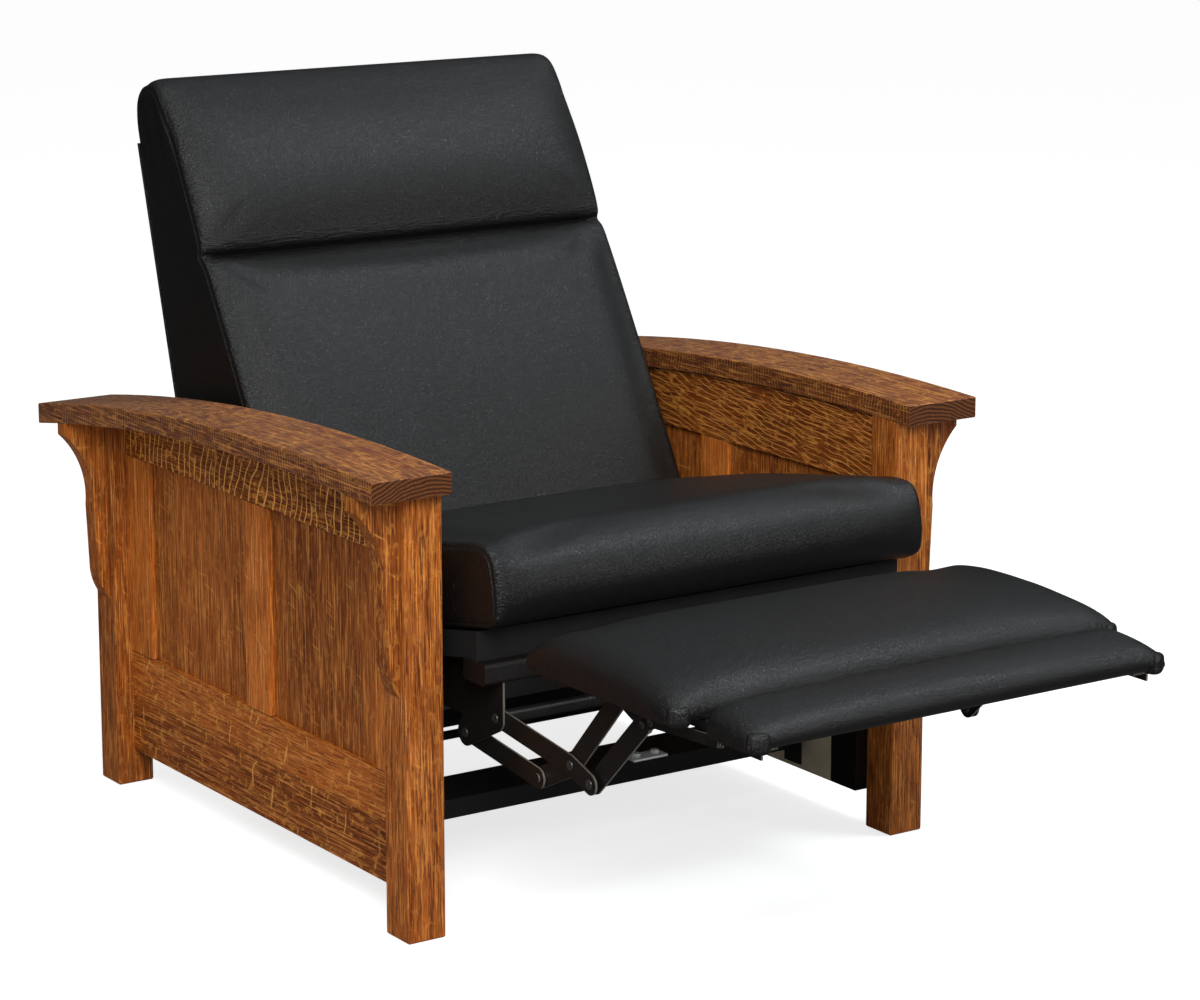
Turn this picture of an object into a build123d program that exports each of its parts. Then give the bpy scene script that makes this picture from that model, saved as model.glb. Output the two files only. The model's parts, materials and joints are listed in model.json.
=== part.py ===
from build123d import *
import math
import os

os.makedirs("parts", exist_ok=True)

# Wall hugger recliner with bowed oak arms, shown with its footrest out.
# Millimetres. X is the width, the sitter faces -Y, Z is up from the floor.
# Sizes named _y are measured back from the front posts' front face, sizes
# named _z up from the floor, sizes named _x out from the middle of the chair.

# Oak sides
post_section = 57
post_edge_radius = 2.5
frame_depth = 889
foot_chamfer = 2
arm_width = 120
arm_thickness = 29.5
arm_front_overhang = 26
arm_rear_overhang = 48.5
arm_crown_z = 634
arm_crown_y = 180
arm_bow_radius = 4554.5
arm_edge_radius = 2
rail_recess = 27
rail_thickness = 22
bottom_rail_z = 52
bottom_rail_height = 152
top_rail_z = 502
stile_width = 66
panel_thickness = 6
corbel_thickness = 28
corbel_height = 271
corbel_reach = 62
corbel_lip = 20
corbel_waist = 21.5
corbel_toe = 17.5
corbel_hollow_share = 0.48
corbel_toe_share = 0.84

# Mounting boards, cross rails and base rails
board_thickness = 27.5
board_foot_gap = 4
board_bottom_z = 56
board_height = 194
board_overhang = 32
board_wrap_length = 57
cross_rail_depth = 95
cross_rail_thickness = 27
cross_rail_z = 90
front_cross_rail_y = 185
rear_rail_setback = 40
base_rail_front_y = 145
base_rail_overhang = 13
base_rail_height = 34
base_foot_width = 28
base_hook_z = 78
base_hook_gap = 2
cross_tube_radius = 6.5
cross_tube_setback = 100
cross_tube_z = 134
rail_bracket_x = 56
rail_bracket_length = 58
rail_bracket_width = 28
rail_bracket_thickness = 3
bolt_radius = 6.5
bolt_height = 5.3
bolt_edge = 13

# Steel of the mechanism, in lanes inward from the carriage side plates
link_thickness = 3
link_gap = 1
link_width = 28
narrow_link_width = 14
rivet_radius = 4
rivet_head_radius = 7
rivet_head_height = 2.4
stub_head_radius = 6
spacer_radius = 5.5
pivot_clearance = 0.08
open_pivot_clearance = 0.3

# Swing links that carry the seat and back forward
swing_length = 165
swing_base_z = 135
swing_spacing = 220
swing_to_back_pivot = 18

# Footrest pivots, with the footrest out
upper_pivot_y = -35
upper_pivot_z = 297
lower_pivot_y = 39
lower_pivot_z = 260
lower_end_y = -128
lower_end_z = 240
bent_pivot_y = -203
bent_pivot_z = 276
front_pivot_y = -246
front_pivot_z = 262
ottoman_rear_pivot_y = -303
ottoman_rear_pivot_z = 385
ottoman_front_pivot_y = -351
ottoman_front_pivot_z = 365
flipper_pivot_y = -374
flipper_pivot_z = 374
flipper_end_y = -508.7
flipper_end_z = 382
extension_pivot_y = -495
extension_pivot_z = 387
ottoman_lobe_radius = 13
flipper_lobe_radius = 9
extension_lobe_radius = 8
torque_tube_radius = 9
torque_tube_wall = 2

# Footrest pads and what carries them
ottoman_board_z = 400
ottoman_board_thickness = 10
ottoman_board_rear_y = -172
ottoman_board_front_y = -474
ottoman_board_inset = 12
ottoman_bracket_rear_y = -215
ottoman_bracket_front_y = -490
ottoman_bracket_depth = 13
bracket_flange_width = 22
ottoman_overhang = 5
ottoman_rear_y = -160
ottoman_front_y = -486
ottoman_edge_thickness = 31
ottoman_crown = 15
ottoman_round = 22
ottoman_corner_pull = 10
extension_bracket_front_y = -592
extension_bracket_depth = 13
extension_inset = 24
extension_rear_y = -508
footrest_reach = 608
extension_under_z = 393
extension_thickness = 42
extension_nose_thickness = 24
extension_round = 12

# Seat
seat_tilt = 10.6
seat_front_y = -92
seat_half_width = 350
seat_foot_z = 337.9
seat_depth = 491
seat_thickness = 114
seat_crown = 16
seat_nose = 18
seat_rear_lean = 44
seat_top_round = 40
seat_bottom_round = 24
seat_deck_thickness = 3
seat_rail_inset = 5
seat_rail_thickness = 30
seat_rail_depth = 35
seat_rail_rear_reach = 22
seat_back_gap = 22
seat_cross_rail_width = 25
front_rail_y = -58
front_rail_depth = 53
front_rail_z = 349
front_rail_height = 29
front_rail_radius = 6
spring_rail_width = 33

# Carriage side plates
plate_front_y = -53
plate_front_depth = 20
plate_wing_start_y = 4
plate_wing_length = 96
plate_wing_top_z = 385
plate_pivot_lobe = 18
plate_rear_lobe = 16

# Back
back_lean = 29.8
back_foot_z = 372
back_length = 790
back_side_inset = 5
back_cushion_thickness = 40
back_crown = 12
head_roll_length = 282
back_seam_depth = 20
back_seam_half_width = 16
back_corner_radius = 24
back_panel_lean = 15.4
back_panel_thickness = 4
back_panel_inset = 2
back_top_roll = 80
back_top_depth = 22
back_top_drop = 8
back_side_thickness = 18
back_rail_thickness = 18
back_pivot_setback = 100
back_pivot_drop = 22
back_bracket_length = 140
back_bracket_lead = 38
back_bracket_drop = 17

# How soft forms are drawn in towards their side seams, from middle to side
station_shares = (0, 0.62, 0.9, 1)
fullness_shares = (1, 0.8, 0.42, 0)
side_pull = 10

# Places that follow from the sizes above
tilt = math.radians(seat_tilt)
lean = math.radians(back_lean)
seat_front_z = seat_foot_z + seat_depth * math.sin(tilt)
seat_rail_half_width = seat_half_width - seat_rail_inset
side_plate_x = seat_rail_half_width - seat_rail_thickness - link_thickness
back_half_width = seat_half_width - back_side_inset
ottoman_half_width = seat_half_width + ottoman_overhang
ottoman_board_half_width = ottoman_half_width - ottoman_board_inset
extension_half_width = seat_half_width - extension_inset
seat_foot_y = seat_front_y + seat_depth * math.cos(tilt)
seat_rail_rear_y = seat_foot_y + seat_rail_rear_reach
seat_top_length = seat_depth + seat_rear_lean
seat_rear_y = (
    seat_front_y + seat_top_length * math.cos(tilt) + seat_thickness * math.sin(tilt)
)
seat_rear_z = (
    seat_front_z - seat_top_length * math.sin(tilt) + seat_thickness * math.cos(tilt)
)
back_foot_y = seat_rear_y + seat_back_gap - math.tan(lean) * (seat_rear_z - back_foot_z)
back_pivot_y = back_foot_y + back_pivot_setback
back_pivot_z = back_foot_z - back_pivot_drop
rear_swing_y = back_pivot_y - swing_to_back_pivot
front_swing_y = rear_swing_y - swing_spacing
rear_cross_rail_y = rear_swing_y + rear_rail_setback
base_rail_rear_y = rear_cross_rail_y + cross_rail_depth + base_rail_overhang
board_rear_y = base_rail_rear_y + board_overhang
cross_tube_y = front_swing_y + cross_tube_setback
frame_front = -(frame_depth + arm_rear_overhang - footrest_reach) / 2
base_rail_x = side_plate_x + 2 * (link_thickness + link_gap)
board_inner_x = base_rail_x + base_foot_width + board_foot_gap
rail_inner_x = board_inner_x + board_thickness
post_outer_x = rail_inner_x + rail_thickness + rail_recess
post_inner_x = post_outer_x - post_section
rear_post_y = frame_depth - post_section
panel_inner_x = rail_inner_x + (rail_thickness - panel_thickness) / 2
panel_bottom_z = bottom_rail_z + bottom_rail_height
mullion_y = (frame_depth - stile_width) / 2
rear_stile_y = rear_post_y - stile_width
arm_front_y = -arm_front_overhang
arm_rear_y = frame_depth + arm_rear_overhang
arm_under_radius = arm_bow_radius - arm_thickness
cross_rail_top_z = cross_rail_z + cross_rail_thickness
swing_top_z = swing_base_z + swing_length
ottoman_under_z = ottoman_board_z + ottoman_board_thickness

upper_pivot = (upper_pivot_y, upper_pivot_z)
lower_pivot = (lower_pivot_y, lower_pivot_z)
lower_end = (lower_end_y, lower_end_z)
bent_pivot = (bent_pivot_y, bent_pivot_z)
front_pivot = (front_pivot_y, front_pivot_z)
ottoman_rear_pivot = (ottoman_rear_pivot_y, ottoman_rear_pivot_z)
ottoman_front_pivot = (ottoman_front_pivot_y, ottoman_front_pivot_z)
flipper_pivot = (flipper_pivot_y, flipper_pivot_z)
flipper_end = (flipper_end_y, flipper_end_z)
extension_pivot = (extension_pivot_y, extension_pivot_z)
back_pivot = (back_pivot_y, back_pivot_z)
front_swing_base = (front_swing_y, swing_base_z)
front_swing_top = (front_swing_y, swing_top_z)
rear_swing_base = (rear_swing_y, swing_base_z)
rear_swing_top = (rear_swing_y, swing_top_z)


# Side view at a given distance from the middle, extruding outward
def side_plane(x):
    return Plane(origin=(x, frame_front, 0), x_dir=(0, 1, 0), z_dir=(1, 0, 0))


# Front view at a given distance behind the front posts, extruding forward
def front_plane(y):
    return Plane(origin=(0, frame_front + y, 0), x_dir=(1, 0, 0), z_dir=(0, -1, 0))


# Side view along the seat: first axis back along its tilt, second up
def seat_plane(x):
    corner = (x, frame_front + seat_front_y, seat_front_z)
    return Plane(origin=corner, x_dir=(0, math.cos(tilt), -math.sin(tilt)), z_dir=(1, 0, 0))


# Side view along the back: first axis up its slope, second out of its face
def back_plane(x):
    corner = (x, frame_front + back_foot_y, back_foot_z)
    return Plane(origin=corner, x_dir=(0, math.sin(lean), math.cos(lean)), z_dir=(1, 0, 0))


# Inner face of a lane of flat steel, counted inward from the side plates
def lane(step):
    return side_plate_x - step * (link_thickness + link_gap)


# Height of the arm's bow, for its top or its underside
def bow_z(radius, y):
    return arm_crown_z - arm_bow_radius + math.sqrt(radius**2 - (y - arm_crown_y) ** 2)


def bow_arc(radius, start_y, end_y):
    middle_y = (start_y + end_y) / 2
    return ThreePointArc(
        (start_y, bow_z(radius, start_y)),
        (middle_y, bow_z(radius, middle_y)),
        (end_y, bow_z(radius, end_y)),
    )


# A rectangle between two corners
def plate(start_y, end_y, bottom_z, top_z):
    with Locations(((start_y + end_y) / 2, (bottom_z + top_z) / 2)):
        Rectangle(abs(end_y - start_y), abs(top_z - bottom_z))


# A flat bar through its pivots, with round ends
def bar(width, *pivots):
    for start, end in zip(pivots, pivots[1:]):
        run = Vector(*end) - Vector(*start)
        with Locations((Vector(*start) + Vector(*end)) / 2):
            SlotCenterToCenter(run.length, width, rotation=math.degrees(math.atan2(run.Y, run.X)))


def holes(radius, *pivots):
    with Locations(*pivots):
        Circle(radius, mode=Mode.SUBTRACT)


# A round bar between two distances from the middle
def round_bar(center, radius, start_x, end_x):
    with BuildSketch(side_plane(start_x)) as section:
        with Locations(center):
            Circle(radius)
    extrude(section.sketch, amount=end_x - start_x)


# A rivet through the lanes from its inner to its outer one, with the heads it needs
def rivet(center, inner, outer, inner_head=0, outer_head=0):
    start_x = lane(inner)
    end_x = lane(outer) + link_thickness
    round_bar(center, rivet_radius, start_x, end_x)
    if inner_head:
        round_bar(center, inner_head, start_x - rivet_head_height, start_x)
    if outer_head:
        round_bar(center, outer_head, end_x, end_x + rivet_head_height)


# Oak sides: bowed arms
with BuildPart() as right_arm:
    with BuildSketch(side_plane(post_inner_x)):
        with BuildLine():
            arm_top = bow_arc(arm_bow_radius, arm_front_y, arm_rear_y)
            arm_under = bow_arc(arm_under_radius, arm_front_y, arm_rear_y)
            Line(arm_top @ 0, arm_under @ 0)
            Line(arm_top @ 1, arm_under @ 1)
        make_face()
    extrude(amount=arm_width)
    fillet(right_arm.edges(), radius=arm_edge_radius)
right_arm.part.label = "right_arm"
export_step(right_arm.part, "parts/right_arm.step")

with BuildPart() as left_arm:
    mirror(right_arm.part, about=Plane.YZ)
left_arm.part.label = "left_arm"
export_step(left_arm.part, "parts/left_arm.step")

# Square posts, cut to the arm's underside
with BuildPart() as right_front_post:
    with BuildSketch(side_plane(post_inner_x)):
        with BuildLine():
            post_top = bow_arc(arm_under_radius, 0, post_section)
            Polyline(post_top @ 0, (0, 0), (post_section, 0), post_top @ 1)
        make_face()
    extrude(amount=post_section)
    fillet(right_front_post.edges().filter_by(Axis.Z), radius=post_edge_radius)
    chamfer(right_front_post.faces().sort_by(Axis.Z)[0].edges(), length=foot_chamfer)
right_front_post.part.label = "right_front_post"
export_step(right_front_post.part, "parts/right_front_post.step")

with BuildPart() as left_front_post:
    mirror(right_front_post.part, about=Plane.YZ)
left_front_post.part.label = "left_front_post"
export_step(left_front_post.part, "parts/left_front_post.step")

with BuildPart() as right_rear_post:
    with BuildSketch(side_plane(post_inner_x)):
        with BuildLine():
            rear_post_top = bow_arc(arm_under_radius, rear_post_y, frame_depth)
            Polyline(rear_post_top @ 0, (rear_post_y, 0), (frame_depth, 0), rear_post_top @ 1)
        make_face()
    extrude(amount=post_section)
    fillet(right_rear_post.edges().filter_by(Axis.Z), radius=post_edge_radius)
    chamfer(right_rear_post.faces().sort_by(Axis.Z)[0].edges(), length=foot_chamfer)
right_rear_post.part.label = "right_rear_post"
export_step(right_rear_post.part, "parts/right_rear_post.step")

with BuildPart() as left_rear_post:
    mirror(right_rear_post.part, about=Plane.YZ)
left_rear_post.part.label = "left_rear_post"
export_step(left_rear_post.part, "parts/left_rear_post.step")

# Frame and panel between the posts
with BuildPart() as right_top_rail:
    with BuildSketch(side_plane(rail_inner_x)):
        with BuildLine():
            rail_top = bow_arc(arm_under_radius, post_section, rear_post_y)
            Polyline(
                rail_top @ 0,
                (post_section, top_rail_z),
                (rear_post_y, top_rail_z),
                rail_top @ 1,
            )
        make_face()
    extrude(amount=rail_thickness)
right_top_rail.part.label = "right_top_rail"
export_step(right_top_rail.part, "parts/right_top_rail.step")

with BuildPart() as left_top_rail:
    mirror(right_top_rail.part, about=Plane.YZ)
left_top_rail.part.label = "left_top_rail"
export_step(left_top_rail.part, "parts/left_top_rail.step")

with BuildPart() as right_bottom_rail:
    with BuildSketch(side_plane(rail_inner_x)):
        plate(post_section, rear_post_y, bottom_rail_z, panel_bottom_z)
    extrude(amount=rail_thickness)
right_bottom_rail.part.label = "right_bottom_rail"
export_step(right_bottom_rail.part, "parts/right_bottom_rail.step")

with BuildPart() as left_bottom_rail:
    mirror(right_bottom_rail.part, about=Plane.YZ)
left_bottom_rail.part.label = "left_bottom_rail"
export_step(left_bottom_rail.part, "parts/left_bottom_rail.step")

with BuildPart() as right_stiles:
    with BuildSketch(side_plane(rail_inner_x)):
        plate(post_section, post_section + stile_width, panel_bottom_z, top_rail_z)
        plate(mullion_y, mullion_y + stile_width, panel_bottom_z, top_rail_z)
        plate(rear_stile_y, rear_post_y, panel_bottom_z, top_rail_z)
    extrude(amount=rail_thickness)
right_stiles.part.label = "right_stiles"
export_step(right_stiles.part, "parts/right_stiles.step")

with BuildPart() as left_stiles:
    mirror(right_stiles.part, about=Plane.YZ)
left_stiles.part.label = "left_stiles"
export_step(left_stiles.part, "parts/left_stiles.step")

with BuildPart() as right_panels:
    with BuildSketch(side_plane(panel_inner_x)):
        plate(post_section + stile_width, mullion_y, panel_bottom_z, top_rail_z)
        plate(mullion_y + stile_width, rear_stile_y, panel_bottom_z, top_rail_z)
    extrude(amount=panel_thickness)
right_panels.part.label = "right_panels"
export_step(right_panels.part, "parts/right_panels.step")

with BuildPart() as left_panels:
    mirror(right_panels.part, about=Plane.YZ)
left_panels.part.label = "left_panels"
export_step(left_panels.part, "parts/left_panels.step")


# A corbel on a post's outer face under the arm, hollowed below its lip
def corbel(post_y):
    front_y = post_y + (post_section - corbel_thickness) / 2
    rear_y = front_y + corbel_thickness
    top_z = bow_z(arm_under_radius, front_y)
    lip_z = top_z - corbel_lip
    waist_z = top_z - corbel_height * corbel_hollow_share
    hollow_z = (lip_z + waist_z) / 2 + corbel_lip / 2
    hollow_reach = corbel_reach / 2
    toe_z = top_z - corbel_height * corbel_toe_share
    toe_reach = corbel_toe * corbel_toe_share
    tip_z = top_z - corbel_height
    with BuildSketch(front_plane(rear_y)) as outline:
        with BuildLine():
            Polyline(
                (post_outer_x, tip_z),
                (post_outer_x, top_z),
                (post_outer_x + corbel_reach, top_z),
                (post_outer_x + corbel_reach, lip_z),
            )
            ThreePointArc(
                (post_outer_x + corbel_reach, lip_z),
                (post_outer_x + hollow_reach, hollow_z),
                (post_outer_x + corbel_waist, waist_z),
            )
            Line((post_outer_x + corbel_waist, waist_z), (post_outer_x + corbel_toe, toe_z))
            ThreePointArc(
                (post_outer_x + corbel_toe, toe_z),
                (post_outer_x + toe_reach * corbel_toe_share, (toe_z + tip_z) / 2),
                (post_outer_x, tip_z),
            )
        make_face()
    extrude(outline.sketch, amount=corbel_thickness)
    with BuildSketch(side_plane(post_outer_x)) as above_corbel:
        with BuildLine():
            under = bow_arc(arm_under_radius, front_y, rear_y)
            Polyline(under @ 0, (front_y, arm_crown_z), (rear_y, arm_crown_z), under @ 1)
        make_face()
    extrude(above_corbel.sketch, amount=corbel_reach, mode=Mode.SUBTRACT)


with BuildPart() as right_front_corbel:
    corbel(0)
right_front_corbel.part.label = "right_front_corbel"
export_step(right_front_corbel.part, "parts/right_front_corbel.step")

with BuildPart() as left_front_corbel:
    mirror(right_front_corbel.part, about=Plane.YZ)
left_front_corbel.part.label = "left_front_corbel"
export_step(left_front_corbel.part, "parts/left_front_corbel.step")

with BuildPart() as right_rear_corbel:
    corbel(rear_post_y)
right_rear_corbel.part.label = "right_rear_corbel"
export_step(right_rear_corbel.part, "parts/right_rear_corbel.step")

with BuildPart() as left_rear_corbel:
    mirror(right_rear_corbel.part, about=Plane.YZ)
left_rear_corbel.part.label = "left_rear_corbel"
export_step(left_rear_corbel.part, "parts/left_rear_corbel.step")

# Mounting boards inside the rails, their front ends wrapped
wrap_end_y = post_section + board_wrap_length
with BuildPart() as right_mounting_board:
    with BuildSketch(side_plane(board_inner_x)):
        plate(wrap_end_y, board_rear_y, board_bottom_z, board_bottom_z + board_height)
    extrude(amount=board_thickness)
right_mounting_board.part.label = "right_mounting_board"
export_step(right_mounting_board.part, "parts/right_mounting_board.step")

with BuildPart() as left_mounting_board:
    mirror(right_mounting_board.part, about=Plane.YZ)
left_mounting_board.part.label = "left_mounting_board"
export_step(left_mounting_board.part, "parts/left_mounting_board.step")

with BuildPart() as board_wraps:
    with BuildSketch(side_plane(board_inner_x)):
        plate(post_section, wrap_end_y, board_bottom_z, board_bottom_z + board_height)
    extrude(amount=board_thickness)
    mirror(about=Plane.YZ)
board_wraps.part.label = "board_wraps"
export_step(board_wraps.part, "parts/board_wraps.step")

# Cross rails between the boards, and the base rails that stand on them
with BuildPart() as front_cross_rail:
    with BuildSketch(side_plane(-board_inner_x)):
        rail_end_y = front_cross_rail_y + cross_rail_depth
        plate(front_cross_rail_y, rail_end_y, cross_rail_z, cross_rail_top_z)
    extrude(amount=2 * board_inner_x)
front_cross_rail.part.label = "front_cross_rail"
export_step(front_cross_rail.part, "parts/front_cross_rail.step")

with BuildPart() as rear_cross_rail:
    with BuildSketch(side_plane(-board_inner_x)):
        rail_end_y = rear_cross_rail_y + cross_rail_depth
        plate(rear_cross_rail_y, rail_end_y, cross_rail_z, cross_rail_top_z)
    extrude(amount=2 * board_inner_x)
rear_cross_rail.part.label = "rear_cross_rail"
export_step(rear_cross_rail.part, "parts/rear_cross_rail.step")

with BuildPart() as base_rails:
    with BuildSketch(side_plane(lane(-2))):
        plate(
            base_rail_front_y,
            base_rail_rear_y,
            cross_rail_top_z,
            cross_rail_top_z + base_rail_height,
        )
        plate(
            base_rail_front_y,
            front_cross_rail_y - base_hook_gap,
            base_hook_z,
            cross_rail_top_z,
        )
        holes(rivet_radius, front_swing_base, rear_swing_base)
    extrude(amount=link_thickness)
    with BuildSketch(side_plane(lane(-2))):
        plate(
            front_cross_rail_y,
            base_rail_rear_y,
            cross_rail_top_z,
            cross_rail_top_z + link_thickness,
        )
    extrude(amount=base_foot_width)
    mirror(about=Plane.YZ)
base_rails.part.label = "base_rails"
export_step(base_rails.part, "parts/base_rails.step")

with BuildPart() as cross_tube:
    round_bar((cross_tube_y, cross_tube_z), cross_tube_radius, -lane(-2), lane(-2))
cross_tube.part.label = "cross_tube"
export_step(cross_tube.part, "parts/cross_tube.step")

bracket_plane = Plane.XY.offset(cross_rail_top_z)
bracket_center = (
    rail_bracket_x + rail_bracket_length / 2,
    frame_front + front_cross_rail_y + rail_bracket_width / 2,
)
bolt_spacing = rail_bracket_length - 2 * bolt_edge
with BuildPart() as rail_bracket:
    with BuildSketch(bracket_plane):
        with Locations(bracket_center):
            Rectangle(rail_bracket_length, rail_bracket_width)
    extrude(amount=rail_bracket_thickness)
rail_bracket.part.label = "rail_bracket"
export_step(rail_bracket.part, "parts/rail_bracket.step")

with BuildPart() as rail_bolts:
    with BuildSketch(bracket_plane.offset(rail_bracket_thickness)):
        with Locations(bracket_center):
            with GridLocations(bolt_spacing, 0, 2, 1):
                RegularPolygon(bolt_radius, 6)
    extrude(amount=bolt_height)
rail_bolts.part.label = "rail_bolts"
export_step(rail_bolts.part, "parts/rail_bolts.step")

with BuildPart() as base_rivets:
    rivet(front_swing_base, -1, -2, rivet_head_radius, rivet_head_radius)
    rivet(rear_swing_base, -1, -2, rivet_head_radius, rivet_head_radius)
    mirror(about=Plane.YZ)
base_rivets.part.label = "base_rivets"
export_step(base_rivets.part, "parts/base_rivets.step")

# Swing links between the base rails and the carriage
running_radius = rivet_radius + pivot_clearance
open_radius = rivet_radius + open_pivot_clearance
with BuildPart() as front_swing_links:
    with BuildSketch(side_plane(lane(-1))):
        bar(link_width, front_swing_base, front_swing_top)
        holes(running_radius, front_swing_base, front_swing_top)
    extrude(amount=link_thickness)
    mirror(about=Plane.YZ)
front_swing_links.part.label = "front_swing_links"
export_step(front_swing_links.part, "parts/front_swing_links.step")

with BuildPart() as rear_swing_links:
    with BuildSketch(side_plane(lane(-1))):
        bar(link_width, rear_swing_base, rear_swing_top)
        holes(running_radius, rear_swing_base)
        holes(open_radius, rear_swing_top)
    extrude(amount=link_thickness)
    mirror(about=Plane.YZ)
rear_swing_links.part.label = "rear_swing_links"
export_step(rear_swing_links.part, "parts/rear_swing_links.step")

# Carriage: side plates under the seat, from the footrest's pivots to the back's
with BuildPart() as side_plates:
    with BuildSketch(side_plane(side_plate_x)):
        with Locations(upper_pivot, lower_pivot):
            Circle(plate_pivot_lobe)
        plate(
            plate_front_y,
            plate_wing_start_y,
            front_rail_z - plate_front_depth,
            front_rail_z,
        )
        make_hull()
        plate(
            plate_wing_start_y,
            plate_wing_start_y + plate_wing_length,
            swing_top_z,
            plate_wing_top_z,
        )
        bar(2 * plate_rear_lobe, (lower_pivot_y, swing_top_z), rear_swing_top)
        bar(2 * plate_rear_lobe, rear_swing_top, back_pivot)
        holes(rivet_radius, upper_pivot, lower_pivot, front_swing_top)
        holes(rivet_radius, rear_swing_top, back_pivot)
    extrude(amount=link_thickness)
    mirror(about=Plane.YZ)
side_plates.part.label = "side_plates"
export_step(side_plates.part, "parts/side_plates.step")

with BuildPart() as carriage_rivets:
    rivet(upper_pivot, 1, 0, 0, rivet_head_radius)
    rivet(lower_pivot, 1, 0, rivet_head_radius, rivet_head_radius)
    rivet(front_swing_top, 0, -1, rivet_head_radius, rivet_head_radius)
    rivet(rear_swing_top, 0, -1, rivet_head_radius, rivet_head_radius)
    rivet(back_pivot, 1, 0, rivet_head_radius, rivet_head_radius)
    mirror(about=Plane.YZ)
carriage_rivets.part.label = "carriage_rivets"
export_step(carriage_rivets.part, "parts/carriage_rivets.step")


# Height of the seat cushion's flat underside
def seat_under_z(y):
    return seat_front_z - math.tan(tilt) * (y - seat_front_y)


# A strip that follows the underside of the seat cushion
def tilted_strip(start_y, end_y, depth):
    with BuildLine() as border:
        Polyline(
            (start_y, seat_under_z(start_y) - depth),
            (start_y, seat_under_z(start_y)),
            (end_y, seat_under_z(end_y)),
            (end_y, seat_under_z(end_y) - depth),
            close=True,
        )
    make_face(border.edges())


# Seat frame: wrapped front rail, spring rail, side rails, rear rail and deck
front_rail_rear_y = front_rail_y + front_rail_depth
front_rail_top_z = front_rail_z + front_rail_height
seat_rail_inner_x = side_plate_x + link_thickness
with BuildPart() as seat_front_rail:
    with BuildSketch(side_plane(-seat_rail_half_width)):
        plate(front_rail_y, front_rail_rear_y, front_rail_z, front_rail_top_z)
    extrude(amount=2 * seat_rail_half_width)
    fillet(seat_front_rail.edges().filter_by(Axis.X), radius=front_rail_radius)
seat_front_rail.part.label = "seat_front_rail"
export_step(seat_front_rail.part, "parts/seat_front_rail.step")

spring_rail_y = front_rail_rear_y - spring_rail_width
with BuildPart() as spring_rail:
    with BuildSketch(side_plane(-seat_rail_half_width)):
        with BuildLine():
            Polyline(
                (spring_rail_y, front_rail_top_z),
                (spring_rail_y, seat_under_z(spring_rail_y)),
                (front_rail_rear_y, seat_under_z(front_rail_rear_y)),
                (front_rail_rear_y, front_rail_top_z),
                close=True,
            )
        make_face()
    extrude(amount=2 * seat_rail_half_width)
spring_rail.part.label = "spring_rail"
export_step(spring_rail.part, "parts/spring_rail.step")

with BuildPart() as seat_side_rails:
    with BuildSketch(side_plane(seat_rail_inner_x)):
        tilted_strip(front_rail_rear_y, seat_rail_rear_y, seat_rail_depth)
    extrude(amount=seat_rail_half_width - seat_rail_inner_x)
    mirror(about=Plane.YZ)
seat_side_rails.part.label = "seat_side_rails"
export_step(seat_side_rails.part, "parts/seat_side_rails.step")

rear_rail_front_y = seat_rail_rear_y - seat_cross_rail_width
with BuildPart() as seat_rear_rail:
    with BuildSketch(side_plane(-side_plate_x)):
        tilted_strip(rear_rail_front_y, seat_rail_rear_y, seat_rail_depth)
    extrude(amount=2 * side_plate_x)
seat_rear_rail.part.label = "seat_rear_rail"
export_step(seat_rear_rail.part, "parts/seat_rear_rail.step")

with BuildPart() as seat_deck:
    with BuildSketch(side_plane(-side_plate_x)):
        tilted_strip(front_rail_rear_y, rear_rail_front_y, seat_deck_thickness)
    extrude(amount=2 * side_plate_x)
seat_deck.part.label = "seat_deck"
export_step(seat_deck.part, "parts/seat_deck.step")


# A soft form: side-view outlines lofted from seam to seam, fullest in the middle
def cushion(half_width, section):
    outlines = []
    for share, fullness in zip(reversed(station_shares), reversed(fullness_shares)):
        outlines.append(section(-half_width * share, fullness))
    for share, fullness in zip(station_shares[1:], fullness_shares[1:]):
        outlines.append(section(half_width * share, fullness))
    loft(outlines)


# An arc whose middle stands off its chord by a bulge, to the left of its run
def bulged_arc(start, end, bulge):
    run = Vector(*end) - Vector(*start)
    middle = (Vector(*start) + Vector(*end)) / 2
    side = Vector(-run.Y, run.X).normalized()
    return ThreePointArc(start, middle + side * bulge, end)


# Seat outline, from the rear of its underside round the front roll
def seat_section(x, fullness):
    pull = side_pull * (1 - fullness)
    low = pull / 3
    high = seat_thickness - pull / 2
    nose = pull - seat_nose / 2
    rear_low = (seat_depth, low)
    front_low = (pull + seat_bottom_round, low)
    nose_low = (nose, low + seat_bottom_round)
    nose_high = (nose, high - seat_top_round)
    front_high = (pull + seat_top_round, high)
    rear_high = (seat_depth + seat_rear_lean, high)
    with BuildSketch(seat_plane(x)) as outline:
        with BuildLine():
            Line(rear_high, rear_low)
            Line(rear_low, front_low)
            bulged_arc(front_low, nose_low, seat_bottom_round / 3)
            bulged_arc(nose_low, nose_high, seat_nose / 2)
            bulged_arc(nose_high, front_high, seat_top_round / 3)
            bulged_arc(front_high, rear_high, seat_crown * fullness + seat_deck_thickness)
        make_face()
    return outline.sketch


with BuildPart() as seat_cushion:
    cushion(seat_half_width, seat_section)
seat_cushion.part.label = "seat_cushion"
export_step(seat_cushion.part, "parts/seat_cushion.step")


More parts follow.
